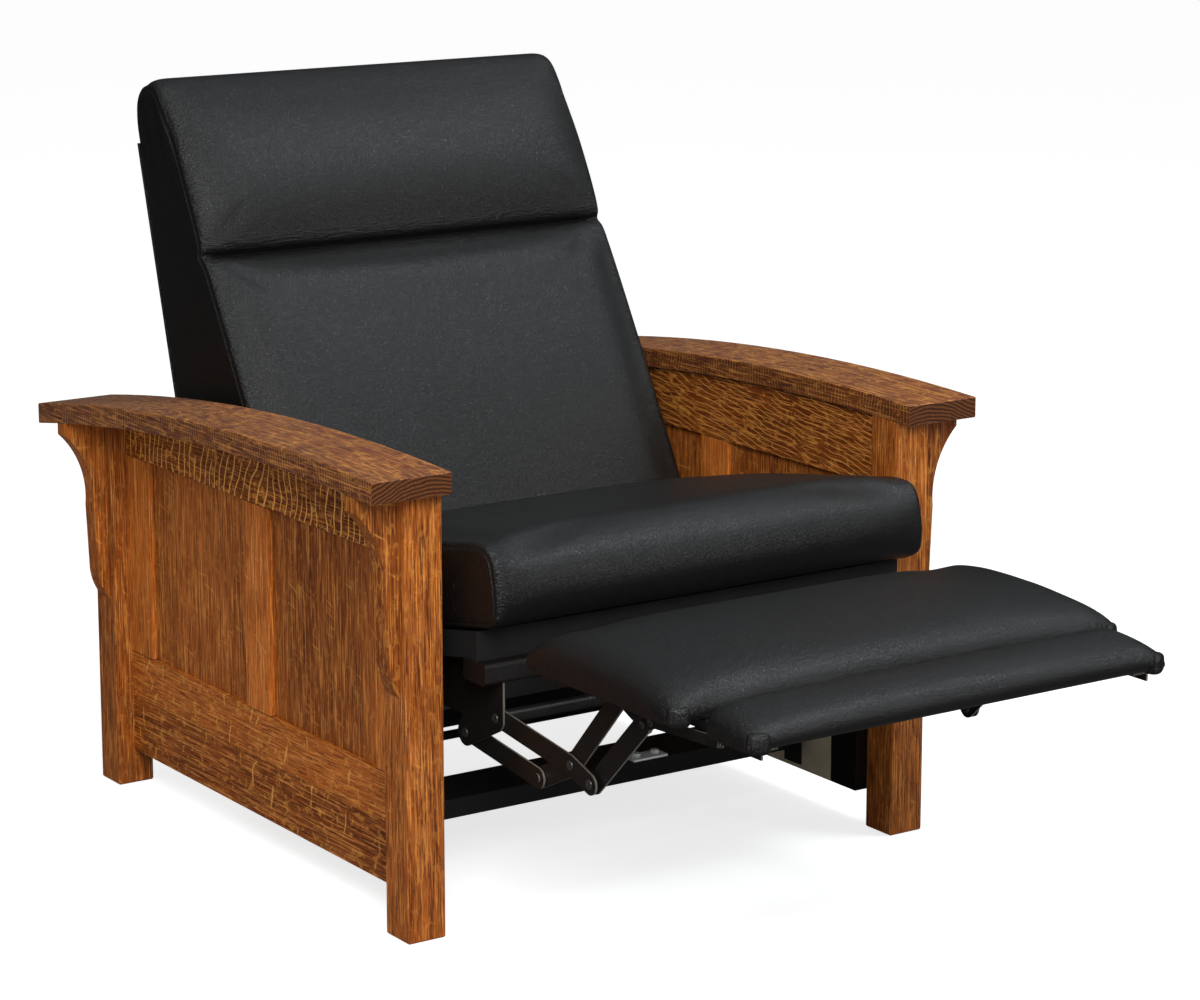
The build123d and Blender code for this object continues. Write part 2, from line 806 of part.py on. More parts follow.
# Back outline: lumbar and head roll, parted by a sewn channel
def back_section(x, fullness):
    pull = side_pull * (1 - fullness)
    face = -pull
    foot = pull / 2
    top = back_length - pull / 2
    seam = back_length - head_roll_length
    crown = back_crown * fullness + back_panel_thickness
    rear_foot = (foot, -back_cushion_thickness)
    front_foot = (foot, face - back_corner_radius)
    lumbar_foot = (foot + back_corner_radius, face)
    lumbar_top = (seam - 2 * back_seam_half_width, face)
    seam_bed = (seam, face - back_seam_depth)
    head_foot = (seam + 2 * back_seam_half_width, face)
    head_top = (top - back_corner_radius, face)
    front_top = (top, face - back_corner_radius)
    rear_top = (top, -back_cushion_thickness)
    with BuildSketch(back_plane(x)) as outline:
        with BuildLine():
            Line(rear_foot, front_foot)
            bulged_arc(front_foot, lumbar_foot, back_corner_radius / 4)
            bulged_arc(lumbar_foot, lumbar_top, crown)
            bulged_arc(lumbar_top, seam_bed, back_seam_depth / 4)
            bulged_arc(seam_bed, head_foot, back_seam_depth / 4)
            bulged_arc(head_foot, head_top, crown)
            bulged_arc(head_top, front_top, back_corner_radius / 4)
            Line(front_top, rear_top)
            Line(rear_top, rear_foot)
        make_face()
    return outline.sketch


with BuildPart() as back_cushion:
    cushion(back_half_width, back_section)
back_cushion.part.label = "back_cushion"
export_step(back_cushion.part, "parts/back_cushion.step")

# Back frame: wedge-shaped sides behind the cushion, rails and the outside panel
panel_slope = math.tan(math.radians(back_panel_lean))
cushion_depth_y = back_cushion_thickness / math.cos(lean)
back_frame_top = (
    back_foot_y + back_length * math.sin(lean) + back_cushion_thickness * math.cos(lean),
    back_foot_z + back_length * math.cos(lean) - back_cushion_thickness * math.sin(lean),
)
back_rear_y = back_frame_top[0] + back_top_depth
back_rear_top_z = back_frame_top[1] - back_top_drop
back_panel_top_z = back_rear_top_z - back_top_roll
back_panel_height = back_panel_top_z - back_foot_z
back_rear_foot_y = back_rear_y - panel_slope * back_panel_height


# Where the cushion's rear face crosses a height
def back_frame_y(z):
    return back_foot_y + cushion_depth_y + math.tan(lean) * (z - back_foot_z)


with BuildPart() as back_side_panels:
    with BuildSketch(side_plane(back_half_width - back_side_thickness)):
        with BuildLine():
            Polyline(
                (back_frame_y(back_foot_z), back_foot_z),
                (back_rear_foot_y, back_foot_z),
                (back_rear_y, back_panel_top_z),
                (back_rear_y, back_rear_top_z),
                back_frame_top,
                close=True,
            )
        make_face()
    extrude(amount=back_side_thickness)
    mirror(about=Plane.YZ)
back_side_panels.part.label = "back_side_panels"
export_step(back_side_panels.part, "parts/back_side_panels.step")

back_inner_x = back_half_width - back_side_thickness
with BuildPart() as back_top_rail:
    with BuildSketch(side_plane(-back_inner_x)):
        with BuildLine():
            Polyline(
                (back_frame_y(back_panel_top_z), back_panel_top_z),
                (back_rear_y, back_panel_top_z),
                (back_rear_y, back_rear_top_z),
                back_frame_top,
                close=True,
            )
        make_face()
    extrude(amount=2 * back_inner_x)
back_top_rail.part.label = "back_top_rail"
export_step(back_top_rail.part, "parts/back_top_rail.step")

back_rail_top_z = back_foot_z + back_rail_thickness
with BuildPart() as back_bottom_rail:
    with BuildSketch(side_plane(-back_inner_x)):
        with BuildLine():
            Polyline(
                (back_frame_y(back_foot_z), back_foot_z),
                (back_rear_foot_y, back_foot_z),
                (back_rear_foot_y + panel_slope * back_rail_thickness, back_rail_top_z),
                (back_frame_y(back_rail_top_z), back_rail_top_z),
                close=True,
            )
        make_face()
    extrude(amount=2 * back_inner_x)
back_bottom_rail.part.label = "back_bottom_rail"
export_step(back_bottom_rail.part, "parts/back_bottom_rail.step")

panel_half_width = back_half_width - back_panel_inset
with BuildPart() as outside_back_panel:
    with BuildSketch(side_plane(-panel_half_width)):
        with BuildLine():
            Polyline(
                (back_rear_foot_y, back_foot_z),
                (back_rear_y, back_panel_top_z),
                (back_rear_y + back_panel_thickness, back_panel_top_z),
                (back_rear_foot_y + back_panel_thickness, back_foot_z),
                close=True,
            )
        make_face()
    extrude(amount=2 * panel_half_width)
outside_back_panel.part.label = "outside_back_panel"
export_step(outside_back_panel.part, "parts/outside_back_panel.step")

bracket_front_y = back_pivot_y - back_bracket_lead
bracket_rear_y = bracket_front_y + back_bracket_length
with BuildPart() as back_brackets:
    with BuildSketch(side_plane(lane(1))):
        with Locations(back_pivot):
            Circle(plate_rear_lobe)
        plate(bracket_front_y, bracket_rear_y, back_foot_z - back_bracket_drop, back_foot_z)
        holes(running_radius, back_pivot)
    extrude(amount=link_thickness)
    with BuildSketch(side_plane(lane(1))):
        plate(bracket_front_y, bracket_rear_y, back_foot_z - link_thickness, back_foot_z)
    extrude(amount=-bracket_flange_width)
    mirror(about=Plane.YZ)
back_brackets.part.label = "back_brackets"
export_step(back_brackets.part, "parts/back_brackets.step")

# Footrest links: the mechanism that throws the ottoman out and folds it away
with BuildPart() as upper_links:
    with BuildSketch(side_plane(lane(1))):
        bar(link_width, upper_pivot, bent_pivot, front_pivot)
        holes(running_radius, upper_pivot)
        holes(rivet_radius, bent_pivot, front_pivot)
    extrude(amount=link_thickness)
    mirror(about=Plane.YZ)
upper_links.part.label = "upper_links"
export_step(upper_links.part, "parts/upper_links.step")

with BuildPart() as torque_tube:
    with BuildSketch(side_plane(-lane(1))):
        with Locations(upper_pivot):
            Circle(torque_tube_radius)
            Circle(torque_tube_radius - torque_tube_wall, mode=Mode.SUBTRACT)
    extrude(amount=2 * lane(1))
torque_tube.part.label = "torque_tube"
export_step(torque_tube.part, "parts/torque_tube.step")

with BuildPart() as upper_link_rivets:
    rivet(bent_pivot, 2, 1, 0, rivet_head_radius)
    rivet(front_pivot, 3, 1, rivet_head_radius, rivet_head_radius)
    round_bar(front_pivot, spacer_radius, lane(2), lane(1))
    mirror(about=Plane.YZ)
upper_link_rivets.part.label = "upper_link_rivets"
export_step(upper_link_rivets.part, "parts/upper_link_rivets.step")

with BuildPart() as lower_links:
    with BuildSketch(side_plane(lane(1))):
        bar(link_width, lower_pivot, lower_end)
        holes(running_radius, lower_pivot)
    extrude(amount=link_thickness)
    round_bar(lower_end, stub_head_radius, lane(0) - link_gap, lane(0) + link_gap)
    mirror(about=Plane.YZ)
lower_links.part.label = "lower_links"
export_step(lower_links.part, "parts/lower_links.step")

with BuildPart() as bent_links:
    with BuildSketch(side_plane(lane(2))):
        bar(link_width, lower_end, bent_pivot, ottoman_rear_pivot)
        holes(running_radius, bent_pivot)
        holes(rivet_radius, ottoman_rear_pivot)
    extrude(amount=link_thickness)
    mirror(about=Plane.YZ)
bent_links.part.label = "bent_links"
export_step(bent_links.part, "parts/bent_links.step")

with BuildPart() as bent_link_rivets:
    rivet(ottoman_rear_pivot, 4, 2, rivet_head_radius, rivet_head_radius)
    round_bar(ottoman_rear_pivot, spacer_radius, lane(3), lane(2))
    round_bar(lower_end, stub_head_radius, lane(2) - rivet_head_height, lane(2))
    mirror(about=Plane.YZ)
bent_link_rivets.part.label = "bent_link_rivets"
export_step(bent_link_rivets.part, "parts/bent_link_rivets.step")

with BuildPart() as front_links:
    with BuildSketch(side_plane(lane(3))):
        bar(link_width, front_pivot, ottoman_front_pivot)
        bar(2 * flipper_lobe_radius, ottoman_front_pivot, flipper_pivot)
        holes(running_radius, front_pivot)
        holes(rivet_radius, flipper_pivot)
    extrude(amount=link_thickness)
    mirror(about=Plane.YZ)
front_links.part.label = "front_links"
export_step(front_links.part, "parts/front_links.step")

with BuildPart() as front_link_rivets:
    rivet(flipper_pivot, 3, 2, 0, stub_head_radius)
    front_face_x = lane(3) + link_thickness
    round_bar(ottoman_front_pivot, stub_head_radius, front_face_x, front_face_x + rivet_head_height)
    mirror(about=Plane.YZ)
front_link_rivets.part.label = "front_link_rivets"
export_step(front_link_rivets.part, "parts/front_link_rivets.step")

# Ottoman: brackets with a flange under the board, board and pad
ottoman_seat_z = ottoman_board_z
with BuildPart() as ottoman_brackets:
    with BuildSketch(side_plane(lane(4))):
        with Locations(ottoman_rear_pivot, ottoman_front_pivot):
            Circle(ottoman_lobe_radius)
        plate(
            ottoman_front_pivot_y,
            ottoman_rear_pivot_y,
            ottoman_seat_z - ottoman_bracket_depth,
            ottoman_seat_z,
        )
        make_hull()
        plate(
            ottoman_bracket_front_y,
            ottoman_bracket_rear_y,
            ottoman_seat_z - ottoman_bracket_depth,
            ottoman_seat_z,
        )
        with Locations(extension_pivot):
            Circle(flipper_lobe_radius)
        holes(running_radius, ottoman_rear_pivot, extension_pivot)
    extrude(amount=link_thickness)
    with BuildSketch(side_plane(lane(4))):
        plate(
            ottoman_board_front_y,
            ottoman_bracket_rear_y,
            ottoman_seat_z - link_thickness,
            ottoman_seat_z,
        )
    extrude(amount=-bracket_flange_width)
    mirror(about=Plane.YZ)
ottoman_brackets.part.label = "ottoman_brackets"
export_step(ottoman_brackets.part, "parts/ottoman_brackets.step")

with BuildPart() as ottoman_board:
    with BuildSketch(side_plane(-ottoman_board_half_width)):
        plate(ottoman_board_front_y, ottoman_board_rear_y, ottoman_board_z, ottoman_under_z)
    extrude(amount=2 * ottoman_board_half_width)
ottoman_board.part.label = "ottoman_board"
export_step(ottoman_board.part, "parts/ottoman_board.step")


# Ottoman outline, from its flat underside over a low crown
def ottoman_section(x, fullness):
    pull = ottoman_corner_pull * (1 - fullness) ** 2
    edge_z = ottoman_under_z + ottoman_edge_thickness
    rear_low = (ottoman_rear_y - pull - ottoman_round / 3, ottoman_under_z)
    rear_high = (ottoman_rear_y - pull - ottoman_round / 2, edge_z)
    front_high = (ottoman_front_y + pull + ottoman_round, edge_z - ottoman_round / 4)
    front_low = (ottoman_front_y + pull + ottoman_round / 3, ottoman_under_z)
    with BuildSketch(side_plane(x)) as outline:
        with BuildLine():
            Line(front_low, rear_low)
            bulged_arc(rear_low, rear_high, -ottoman_round / 3)
            bulged_arc(rear_high, front_high, -ottoman_crown * fullness - link_thickness)
            bulged_arc(front_high, front_low, -ottoman_round / 3)
        make_face()
    return outline.sketch


with BuildPart() as ottoman_pad:
    cushion(ottoman_half_width, ottoman_section)
ottoman_pad.part.label = "ottoman_pad"
export_step(ottoman_pad.part, "parts/ottoman_pad.step")

with BuildPart() as ottoman_rivets:
    rivet(extension_pivot, 4, 3, stub_head_radius, 0)
    mirror(about=Plane.YZ)
ottoman_rivets.part.label = "ottoman_rivets"
export_step(ottoman_rivets.part, "parts/ottoman_rivets.step")

# Extension flap: flipper links, brackets and bolster
with BuildPart() as flipper_links:
    with BuildSketch(side_plane(lane(2))):
        bar(narrow_link_width, flipper_pivot, flipper_end)
        holes(running_radius, flipper_pivot)
    extrude(amount=link_thickness)
    flipper_face_x = lane(2) + link_thickness
    round_bar(flipper_end, stub_head_radius, flipper_face_x, flipper_face_x + rivet_head_height)
    mirror(about=Plane.YZ)
flipper_links.part.label = "flipper_links"
export_step(flipper_links.part, "parts/flipper_links.step")

with BuildPart() as extension_brackets:
    with BuildSketch(side_plane(lane(3))):
        with Locations(extension_pivot, flipper_end):
            Circle(extension_lobe_radius)
        make_hull()
        plate(
            extension_bracket_front_y,
            flipper_end_y,
            extension_under_z - extension_bracket_depth,
            extension_under_z,
        )
        holes(running_radius, extension_pivot)
    extrude(amount=link_thickness)
    with BuildSketch(side_plane(lane(3))):
        plate(
            extension_bracket_front_y,
            extension_rear_y - link_thickness,
            extension_under_z - link_thickness,
            extension_under_z,
        )
    extrude(amount=-bracket_flange_width)
    mirror(about=Plane.YZ)
extension_brackets.part.label = "extension_brackets"
export_step(extension_brackets.part, "parts/extension_brackets.step")


# Extension outline: thick at the rear, falling to a rounded nose
def extension_section(x, fullness):
    pull = side_pull * (1 - fullness) ** 2
    top_z = extension_under_z + extension_thickness - pull / 2
    nose_y = pull - footrest_reach
    rear_low = (extension_rear_y - pull, extension_under_z)
    rear_high = (extension_rear_y - pull - extension_round, top_z - extension_round / 3)
    nose_high = (nose_y + extension_round, extension_under_z + extension_nose_thickness)
    nose_low = (nose_y + extension_round, extension_under_z)
    with BuildSketch(side_plane(x)) as outline:
        with BuildLine():
            Line(nose_low, rear_low)
            Line(rear_low, (extension_rear_y - pull, top_z - 2 * extension_round))
            bulged_arc(
                (extension_rear_y - pull, top_z - 2 * extension_round),
                rear_high,
                -extension_round / 3,
            )
            bulged_arc(rear_high, nose_high, -extension_round / 2 - side_pull * fullness / 4)
            bulged_arc(nose_high, nose_low, -extension_round + link_gap)
        make_face()
    return outline.sketch


with BuildPart() as extension_pad:
    cushion(extension_half_width, extension_section)
extension_pad.part.label = "extension_pad"
export_step(extension_pad.part, "parts/extension_pad.step")
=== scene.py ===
import bpy
import json
import math
import numpy as np
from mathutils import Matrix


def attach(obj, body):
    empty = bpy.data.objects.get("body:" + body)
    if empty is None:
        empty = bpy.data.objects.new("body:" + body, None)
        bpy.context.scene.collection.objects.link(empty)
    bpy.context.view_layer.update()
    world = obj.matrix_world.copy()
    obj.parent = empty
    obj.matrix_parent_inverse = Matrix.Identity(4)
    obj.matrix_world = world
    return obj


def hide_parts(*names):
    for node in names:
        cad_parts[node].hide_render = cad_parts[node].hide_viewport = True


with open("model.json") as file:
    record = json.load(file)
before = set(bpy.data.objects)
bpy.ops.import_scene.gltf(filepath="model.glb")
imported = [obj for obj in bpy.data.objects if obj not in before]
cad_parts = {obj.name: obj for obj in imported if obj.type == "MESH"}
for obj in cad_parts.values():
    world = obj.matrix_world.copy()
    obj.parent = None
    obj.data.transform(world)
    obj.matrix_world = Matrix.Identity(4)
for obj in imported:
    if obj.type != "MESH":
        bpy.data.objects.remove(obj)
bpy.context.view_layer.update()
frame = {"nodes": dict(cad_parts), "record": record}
nodes = frame["nodes"]
scene = bpy.context.scene
print("frame loaded", len(nodes), "nodes")

mm = 0.001
frameFront = -164.75  # row y of the front posts' front face, in mm


# a place given in mm back from the front posts and up from the floor, as row metres
def rowPlace(y, z):
    return np.stack([(np.asarray(y, float) + frameFront) * mm, np.asarray(z, float) * mm], -1)


def rowPoints(x, y, z):  # the same with x, as one list of points
    return np.concatenate([(x * mm)[..., None], rowPlace(y, z)], -1).reshape(-1, 3)


# an output socket in its node tree, on which sums add Math nodes
class Wire:
    def __init__(self, tree, socket):
        self.tree = tree
        self.socket = socket

    def __add__(self, other):
        return reckon("ADD", self, other)

    def __sub__(self, other):
        return reckon("SUBTRACT", self, other)

    def __rsub__(self, other):
        return reckon("SUBTRACT", other, self)

    def __mul__(self, other):
        return reckon("MULTIPLY", self, other)

    def __truediv__(self, other):
        return reckon("DIVIDE", self, other)

    def __abs__(self):
        return reckon("ABSOLUTE", self)


def feed(tree, socket, value):
    if isinstance(value, Wire):
        tree.links.new(value.socket, socket)
    elif value is not None:
        socket.default_value = value


def addNode(tree, kind, inputs, **settings):
    node = tree.nodes.new("ShaderNode" + kind)
    for label, value in settings.items():
        setattr(node, label, value)
    for label, value in inputs.items():
        feed(tree, node.inputs[label], value)
    return node


def wires(tree, node):  # a node's outputs by name
    return {output.name: Wire(tree, output) for output in node.outputs}


def reckon(operation, *values, clamp=False):
    tree = next(value.tree for value in values if isinstance(value, Wire))
    node = addNode(tree, "Math", dict(enumerate(values)), operation=operation, use_clamp=clamp)
    return Wire(tree, node.outputs[0])


def fromHalf(value):  # 0.5 at whole numbers, 0 halfway between them
    return abs(reckon("FRACT", value) - 0.5)


def reckonVector(operation, vector, other=None):
    node = addNode(vector.tree, "VectorMath", {0: vector, 1: other}, operation=operation)
    return Wire(vector.tree, node.outputs["Value" if operation == "LENGTH" else 0])


def stretched(vector, scales):
    return reckonVector("MULTIPLY", vector, scales)


def split(vector):
    node = addNode(vector.tree, "SeparateXYZ", {0: vector})
    return [Wire(vector.tree, output) for output in node.outputs]


def joined(x, y, z):
    return Wire(x.tree, addNode(x.tree, "CombineXYZ", {0: x, 1: y, 2: z}).outputs[0])


def noise(vector, scale, detail, roughness=0.55, distortion=0.0):
    node = addNode(vector.tree, "TexNoise", {"Vector": vector, "Scale": scale, "Detail": detail,
                                             "Roughness": roughness, "Distortion": distortion})
    return Wire(vector.tree, node.outputs[0])


def step(value, low, high):  # smooth step from 0 at low to 1 at high
    node = addNode(value.tree, "MapRange", {"Value": value, "From Min": low, "From Max": high},
                   interpolation_type="SMOOTHSTEP")
    return Wire(value.tree, node.outputs["Result"])


def mixColour(share, a, b, blendType="MIX"):
    tree = next(value.tree for value in (share, a, b) if isinstance(value, Wire))
    node = addNode(tree, "Mix", {}, data_type="RGBA", blend_type=blendType)
    for socket, value in ((node.inputs["Factor"], share), (node.inputs[6], a), (node.inputs[7], b)):
        feed(tree, socket, value)
    return Wire(tree, node.outputs[2])


def newGroup(name, inputs, outputs=("Color", "Roughness", "Height")):
    tree = bpy.data.node_groups.new(name, "ShaderNodeTree")
    for label, value in inputs.items():  # an input's kind follows from its value, None for a vector
        kind = "Vector" if value is None else "Color" if isinstance(value, tuple) else "Float"
        socket = tree.interface.new_socket(name=label, in_out="INPUT", socket_type="NodeSocket" + kind)
        if value is not None:
            socket.default_value = value
    for label in outputs:
        kind = "Color" if label == "Color" else "Float"
        tree.interface.new_socket(name=label, in_out="OUTPUT", socket_type="NodeSocket" + kind)
    return tree, wires(tree, tree.nodes.new("NodeGroupInput"))


def giveOut(tree, results):
    end = tree.nodes.new("NodeGroupOutput")
    for label, value in results.items():
        feed(tree, end.inputs[label], value)
    return tree


def place(tree, group, values):
    node = addNode(tree, "Group", {}, node_tree=group)
    for label, value in values.items():
        feed(tree, node.inputs[label], value)
    return wires(tree, node)


def newMaterial(name, settings):
    material = bpy.data.materials.new(name)
    material.use_nodes = True
    tree = material.node_tree
    for label, value in settings.items():
        tree.nodes["Principled BSDF"].inputs[label].default_value = value
    return material, tree, wires(tree, addNode(tree, "TexCoord", {}))


def finishMaterial(material, results, height=None, distance=0.0, strength=0.0):
    tree = material.node_tree
    shader = tree.nodes["Principled BSDF"]
    for label, value in results.items():
        feed(tree, shader.inputs[label], value)
    if height:
        bump = addNode(tree, "Bump", {"Strength": strength, "Distance": distance, "Height": height})
        tree.links.new(bump.outputs["Normal"], shader.inputs["Normal"])
    return material


# oak: quarter-sawn figure worked out from X across, Y through, Z along the grain
oak = {
    "dark": (0.150, 0.031, 0.0045, 1), "light": (0.49, 0.132, 0.0190, 1), "thread": (0.84, 0.335, 0.070, 1),
    "pore": (0.20, 0.135, 0.11, 1), "fleck": (0.80, 0.330, 0.058, 1), "ray": (0.95, 0.450, 0.095, 1),
    "glue": (0.012, 0.004, 0.0015, 1),
    "lineShare": 0.74, "tickShare": 0.42, "threadShare": 0.55, "fleckShare": 0.6, "rayShare": 0.9,
    "stripTone": 0.62, "cloudTone": 0.8, "roughness": 0.36,
    "joints": (0.204, 0.502),  # heights of the joints between the stiles and the rails
    "bump": (0.0004, 0.7), "armSheen": 0.045,
}


def makeOakFigure():
    tree, given = newGroup("oakFigure", {
        "Vector": None, "Strip Width": 0.09, "Tone": 0.5, "Seed": 0.0, "Grain": 1.0, "Ray": 0.6,
        "Ray Pitch": 60.0, "Ray Slope": 14.0, "Ray Cover": 0.5, "Joint Gap": 1.0,
    })
    # each strip of a glued-up board has its own tone and its own piece of the figure
    stripPlace = split(given["Vector"])[0] / given["Strip Width"] + given["Seed"]
    white = addNode(tree, "TexWhiteNoise", {"W": reckon("FLOOR", stripPlace)}, noise_dimensions="1D")
    stripTone = wires(tree, white)["Value"]
    glueGap = (0.5 - fromHalf(stripPlace)) * given["Strip Width"]  # metres to the nearest glue line
    shift = joined(stripTone * 3.1, stripTone + given["Seed"], stripTone * 5.3)
    board = reckonVector("ADD", given["Vector"], shift)
    broad = noise(stretched(board, (11, 11, 4)), 1, 2)
    # the grain is sheared along itself, so that neighbouring lines don't break at the same height
    x, y, z = split(board)
    grain = joined(x, y, z + reckon("MULTIPLY_ADD", x, 7.3, y * 5.9))
    # dark broken lines of the open pores drawn out along the grain, and light threads between them
    lines = noise(stretched(grain, (620, 620, 20)), 1, 3, 0.6, 0.08)
    ticks = noise(stretched(grain, (900, 900, 90)), 1, 2, 0.55, 0.1)
    lines = step(lines, 0.50, 0.60) * given["Grain"]
    ticks = step(ticks, 0.52, 0.66) * given["Grain"]
    threads = step(noise(stretched(grain, (470, 470, 13)), 1, 2, 0.6, 0.08), 0.50, 0.64)
    # rays: wavy strokes across the grain, at a pitch, broken up by a slower pattern
    sway = noise(stretched(board, (9, 9, 7)), 1, 2, 0.45)
    beat = z * given["Ray Pitch"] + sway * 5.0 + x * given["Ray Slope"]
    rays = 1.0 - step(fromHalf(beat), 0.03, 0.12)
    cover = noise(stretched(board, (24, 60, 42)), 1, 2, 0.5)
    cover = step(cover + (given["Ray Cover"] - 0.5), 0.47, 0.58)
    rays = reckon("MULTIPLY", rays * cover, given["Ray"], clamp=True)
    flecks = step(noise(stretched(board, (95, 150, 60)), 1, 2, 0.5, 0.8), 0.55, 0.66) * given["Ray"]
    tone = (stripTone - 0.5) * oak["stripTone"] + given["Tone"]
    tone = reckon("ADD", tone, (broad - 0.5) * oak["cloudTone"], clamp=True)
    colour = mixColour(tone, oak["dark"], oak["light"])
    colour = mixColour(threads * oak["threadShare"], colour, oak["thread"])
    dark = mixColour(1.0, colour, oak["pore"], "MULTIPLY")
    colour = mixColour(lines * oak["lineShare"], colour, dark)
    colour = mixColour(ticks * oak["tickShare"], colour, dark)
    colour = mixColour(flecks * oak["fleckShare"], colour, oak["fleck"])
    colour = mixColour(rays * oak["rayShare"], colour, oak["ray"])
    glue = 1.0 - step(glueGap, 0.0003, 0.0012)
    gap = 1.0 - step(given["Joint Gap"], 0.0005, 0.0016)
    colour = mixColour(reckon("MAXIMUM", glue * 0.45, gap * 0.9), colour, oak["glue"])
    rough = lines * 0.2 + oak["roughness"] - rays * 0.1
    height = rays * 0.2 - lines * 0.6 - ticks * 0.4 - gap * 2.0
    return giveOut(tree, {"Color": colour, "Roughness": rough, "Height": height})


# rings of the sawn ends, bent round a heart above the board
def makeEndGrain():
    tree, given = newGroup("endGrain", {"Vector": None}, ("Color",))
    vector = reckonVector("SUBTRACT", reckonVector("ABSOLUTE", given["Vector"]), (0.40, 0.0, 0.45))
    away = reckonVector("LENGTH", stretched(vector, (1, 0, 1)))
    beat = (away + noise(vector, 14, 2, 0.5) * 0.02) * 190
    pores = step(noise(vector, 900, 2, 0.6), 0.48, 0.60)
    colour = mixColour(step(fromHalf(beat), 0.10, 0.4), (0.16, 0.052, 0.013, 1), (0.045, 0.013, 0.004, 1))
    return giveOut(tree, {"Color": mixColour(pores * 0.6, colour, (0.03, 0.007, 0.002, 1))})


oakFigure = makeOakFigure()
endGrain = makeEndGrain()
oakTurns = {  # how each grain direction is turned so that the group's X runs across, Z along
    "post": (0.0, 0.0, 0.0),
    "rail": (math.pi / 2, 0.0, math.pi / 2),
    "panel": (0.0, 0.0, math.pi / 2),
    "arm": (math.pi / 2, 0.0, 0.0),
}


def oakMaterial(name, turn, shift, look, jointed, uprightPaintedShade=1.0, grain=1.0):
    material, tree, where = newMaterial(name, {
        "Roughness": 0.38, "Specular IOR Level": 0.22, "Coat Weight": 0.06, "Coat Roughness": 0.16,
        "Sheen Weight": oak["armSheen"] if turn == "arm" else 0.0,
    })
    mapping = addNode(tree, "Mapping", {"Vector": where["Object"], "Rotation": oakTurns[turn], "Location": shift},
                      vector_type="POINT")
    values = dict(zip(("Strip Width", "Ray", "Tone", "Seed", "Ray Pitch", "Ray Slope", "Ray Cover"), look))
    values["Vector"] = Wire(tree, mapping.outputs[0])
    values["Grain"] = grain
    if jointed:
        height = split(where["Object"])[2]
        values["Joint Gap"] = reckon("MINIMUM", *(abs(height - joint) for joint in oak["joints"]))
    figure = place(tree, oakFigure, values)
    normal = split(where["Normal"])
    # the upright faces' colour times a factor, painted shade or light by which way the face points; the tops keep
    # the plain figure
    edge = mixColour(1.0, figure["Color"], (uprightPaintedShade, uprightPaintedShade, uprightPaintedShade, 1), "MULTIPLY")
    colour = mixColour(abs(normal[2]), edge, figure["Color"])  # painted shade on the upright faces where the factor is below 1, painted light where it is above 1
    if turn == "arm":
        rings = place(tree, endGrain, {"Vector": where["Object"]})
        colour = mixColour(step(abs(normal[1]), 0.75, 0.9), colour, rings["Color"])
    return finishMaterial(material, {"Base Color": colour, "Roughness": figure["Roughness"]},
                          figure["Height"], *oak["bump"])


# node: grain turn, shift, (strip width, ray, tone, seed, ray pitch, slope and cover), flush joints
oakPieces = {
    "arm": ("arm", (0.0, 0.0, 0.0), (0.30, 0.50, 0.30, 0.13, 150.0, 30.0, 0.56), False),
    "front_post": ("post", (0.02, 0.0, 0.0), (0.5, 0.30, 0.88, 0.40, 45.0, 30.0, 0.36), False),
    "rear_post": ("post", (0.0, 0.03, 0.4), (0.5, 0.30, 0.66, 0.40, 45.0, 30.0, 0.36), False),
    "top_rail": ("rail", (0.0, 0.0, 0.3), (0.5, 1.0, 0.50, 0.2, 62.0, 14.0, 0.62), False),
    "bottom_rail": ("rail", (0.0, 0.0, 0.0), (0.084, 0.60, 0.58, 0.386, 46.0, 10.0, 0.42), False),
    "stiles": ("panel", (0.0, 0.0, 0.2), (0.5, 0.25, 1.02, 0.30, 40.0, 20.0, 0.36), True),
    "panels": ("panel", (0.0, 0.0, 0.0), (0.066, 0.30, 0.50, 0.1, 75.0, 20.0, 0.40), False),
    "front_corbel": ("post", (0.1, 0.2, 0.1), (0.5, 0.4, 0.52, 0.45, 45.0, 20.0, 0.40), False),
    "rear_corbel": ("post", (0.3, 0.1, 0.5), (0.5, 0.3, 0.60, 0.45, 45.0, 20.0, 0.40), False),
}
uprightShadeAndGrain = {  # a colour factor on the upright faces, painted shade below 1 and painted light above 1, and strength of the dark grain
    "arm": (0.74, 0.7), "top_rail": (1.0, 1.0), "stiles": (1.16, 0.8), "panels": (1.0, 0.85),
    "front_post": (1.0, 1.1),
}
# ray, tone, seed, pitch, slope and cover where the sides differ
rayLean = {"right_top_rail": (0.58, 0.42, 0.2, 24.0, -112.0, 0.64)}


def dress(name, material):
    for slot in nodes[name].material_slots:
        slot.material = material
    if not nodes[name].material_slots:
        nodes[name].data.materials.append(material)


for side, sideShift in (("left", 0.0), ("right", 0.7)):
    for part, (turn, shift, look, jointed) in oakPieces.items():
        name = side + "_" + part
        moved = (shift[0], shift[1], shift[2] + sideShift)
        look = (look[0], *rayLean.get(name, look[1:]))
        dress(name, oakMaterial(name + "_oak", turn, moved, look, jointed, *uprightShadeAndGrain.get(part, ())))
print("oak done")


# leather: fine pebble grain, soft creases, a dark line in each seam, and painted shade round the corner tabs' rims
leather = {
    "dark": (0.0036, 0.0029, 0.0025, 1), "light": (0.0066, 0.0056, 0.0050, 1), "seam": (0.001, 0.001, 0.001, 1),
    "worn": (0.020, 0.012, 0.009, 1), "pebble": 620.0, "roughness": 0.24, "bump": (0.0016, 0.75),
}


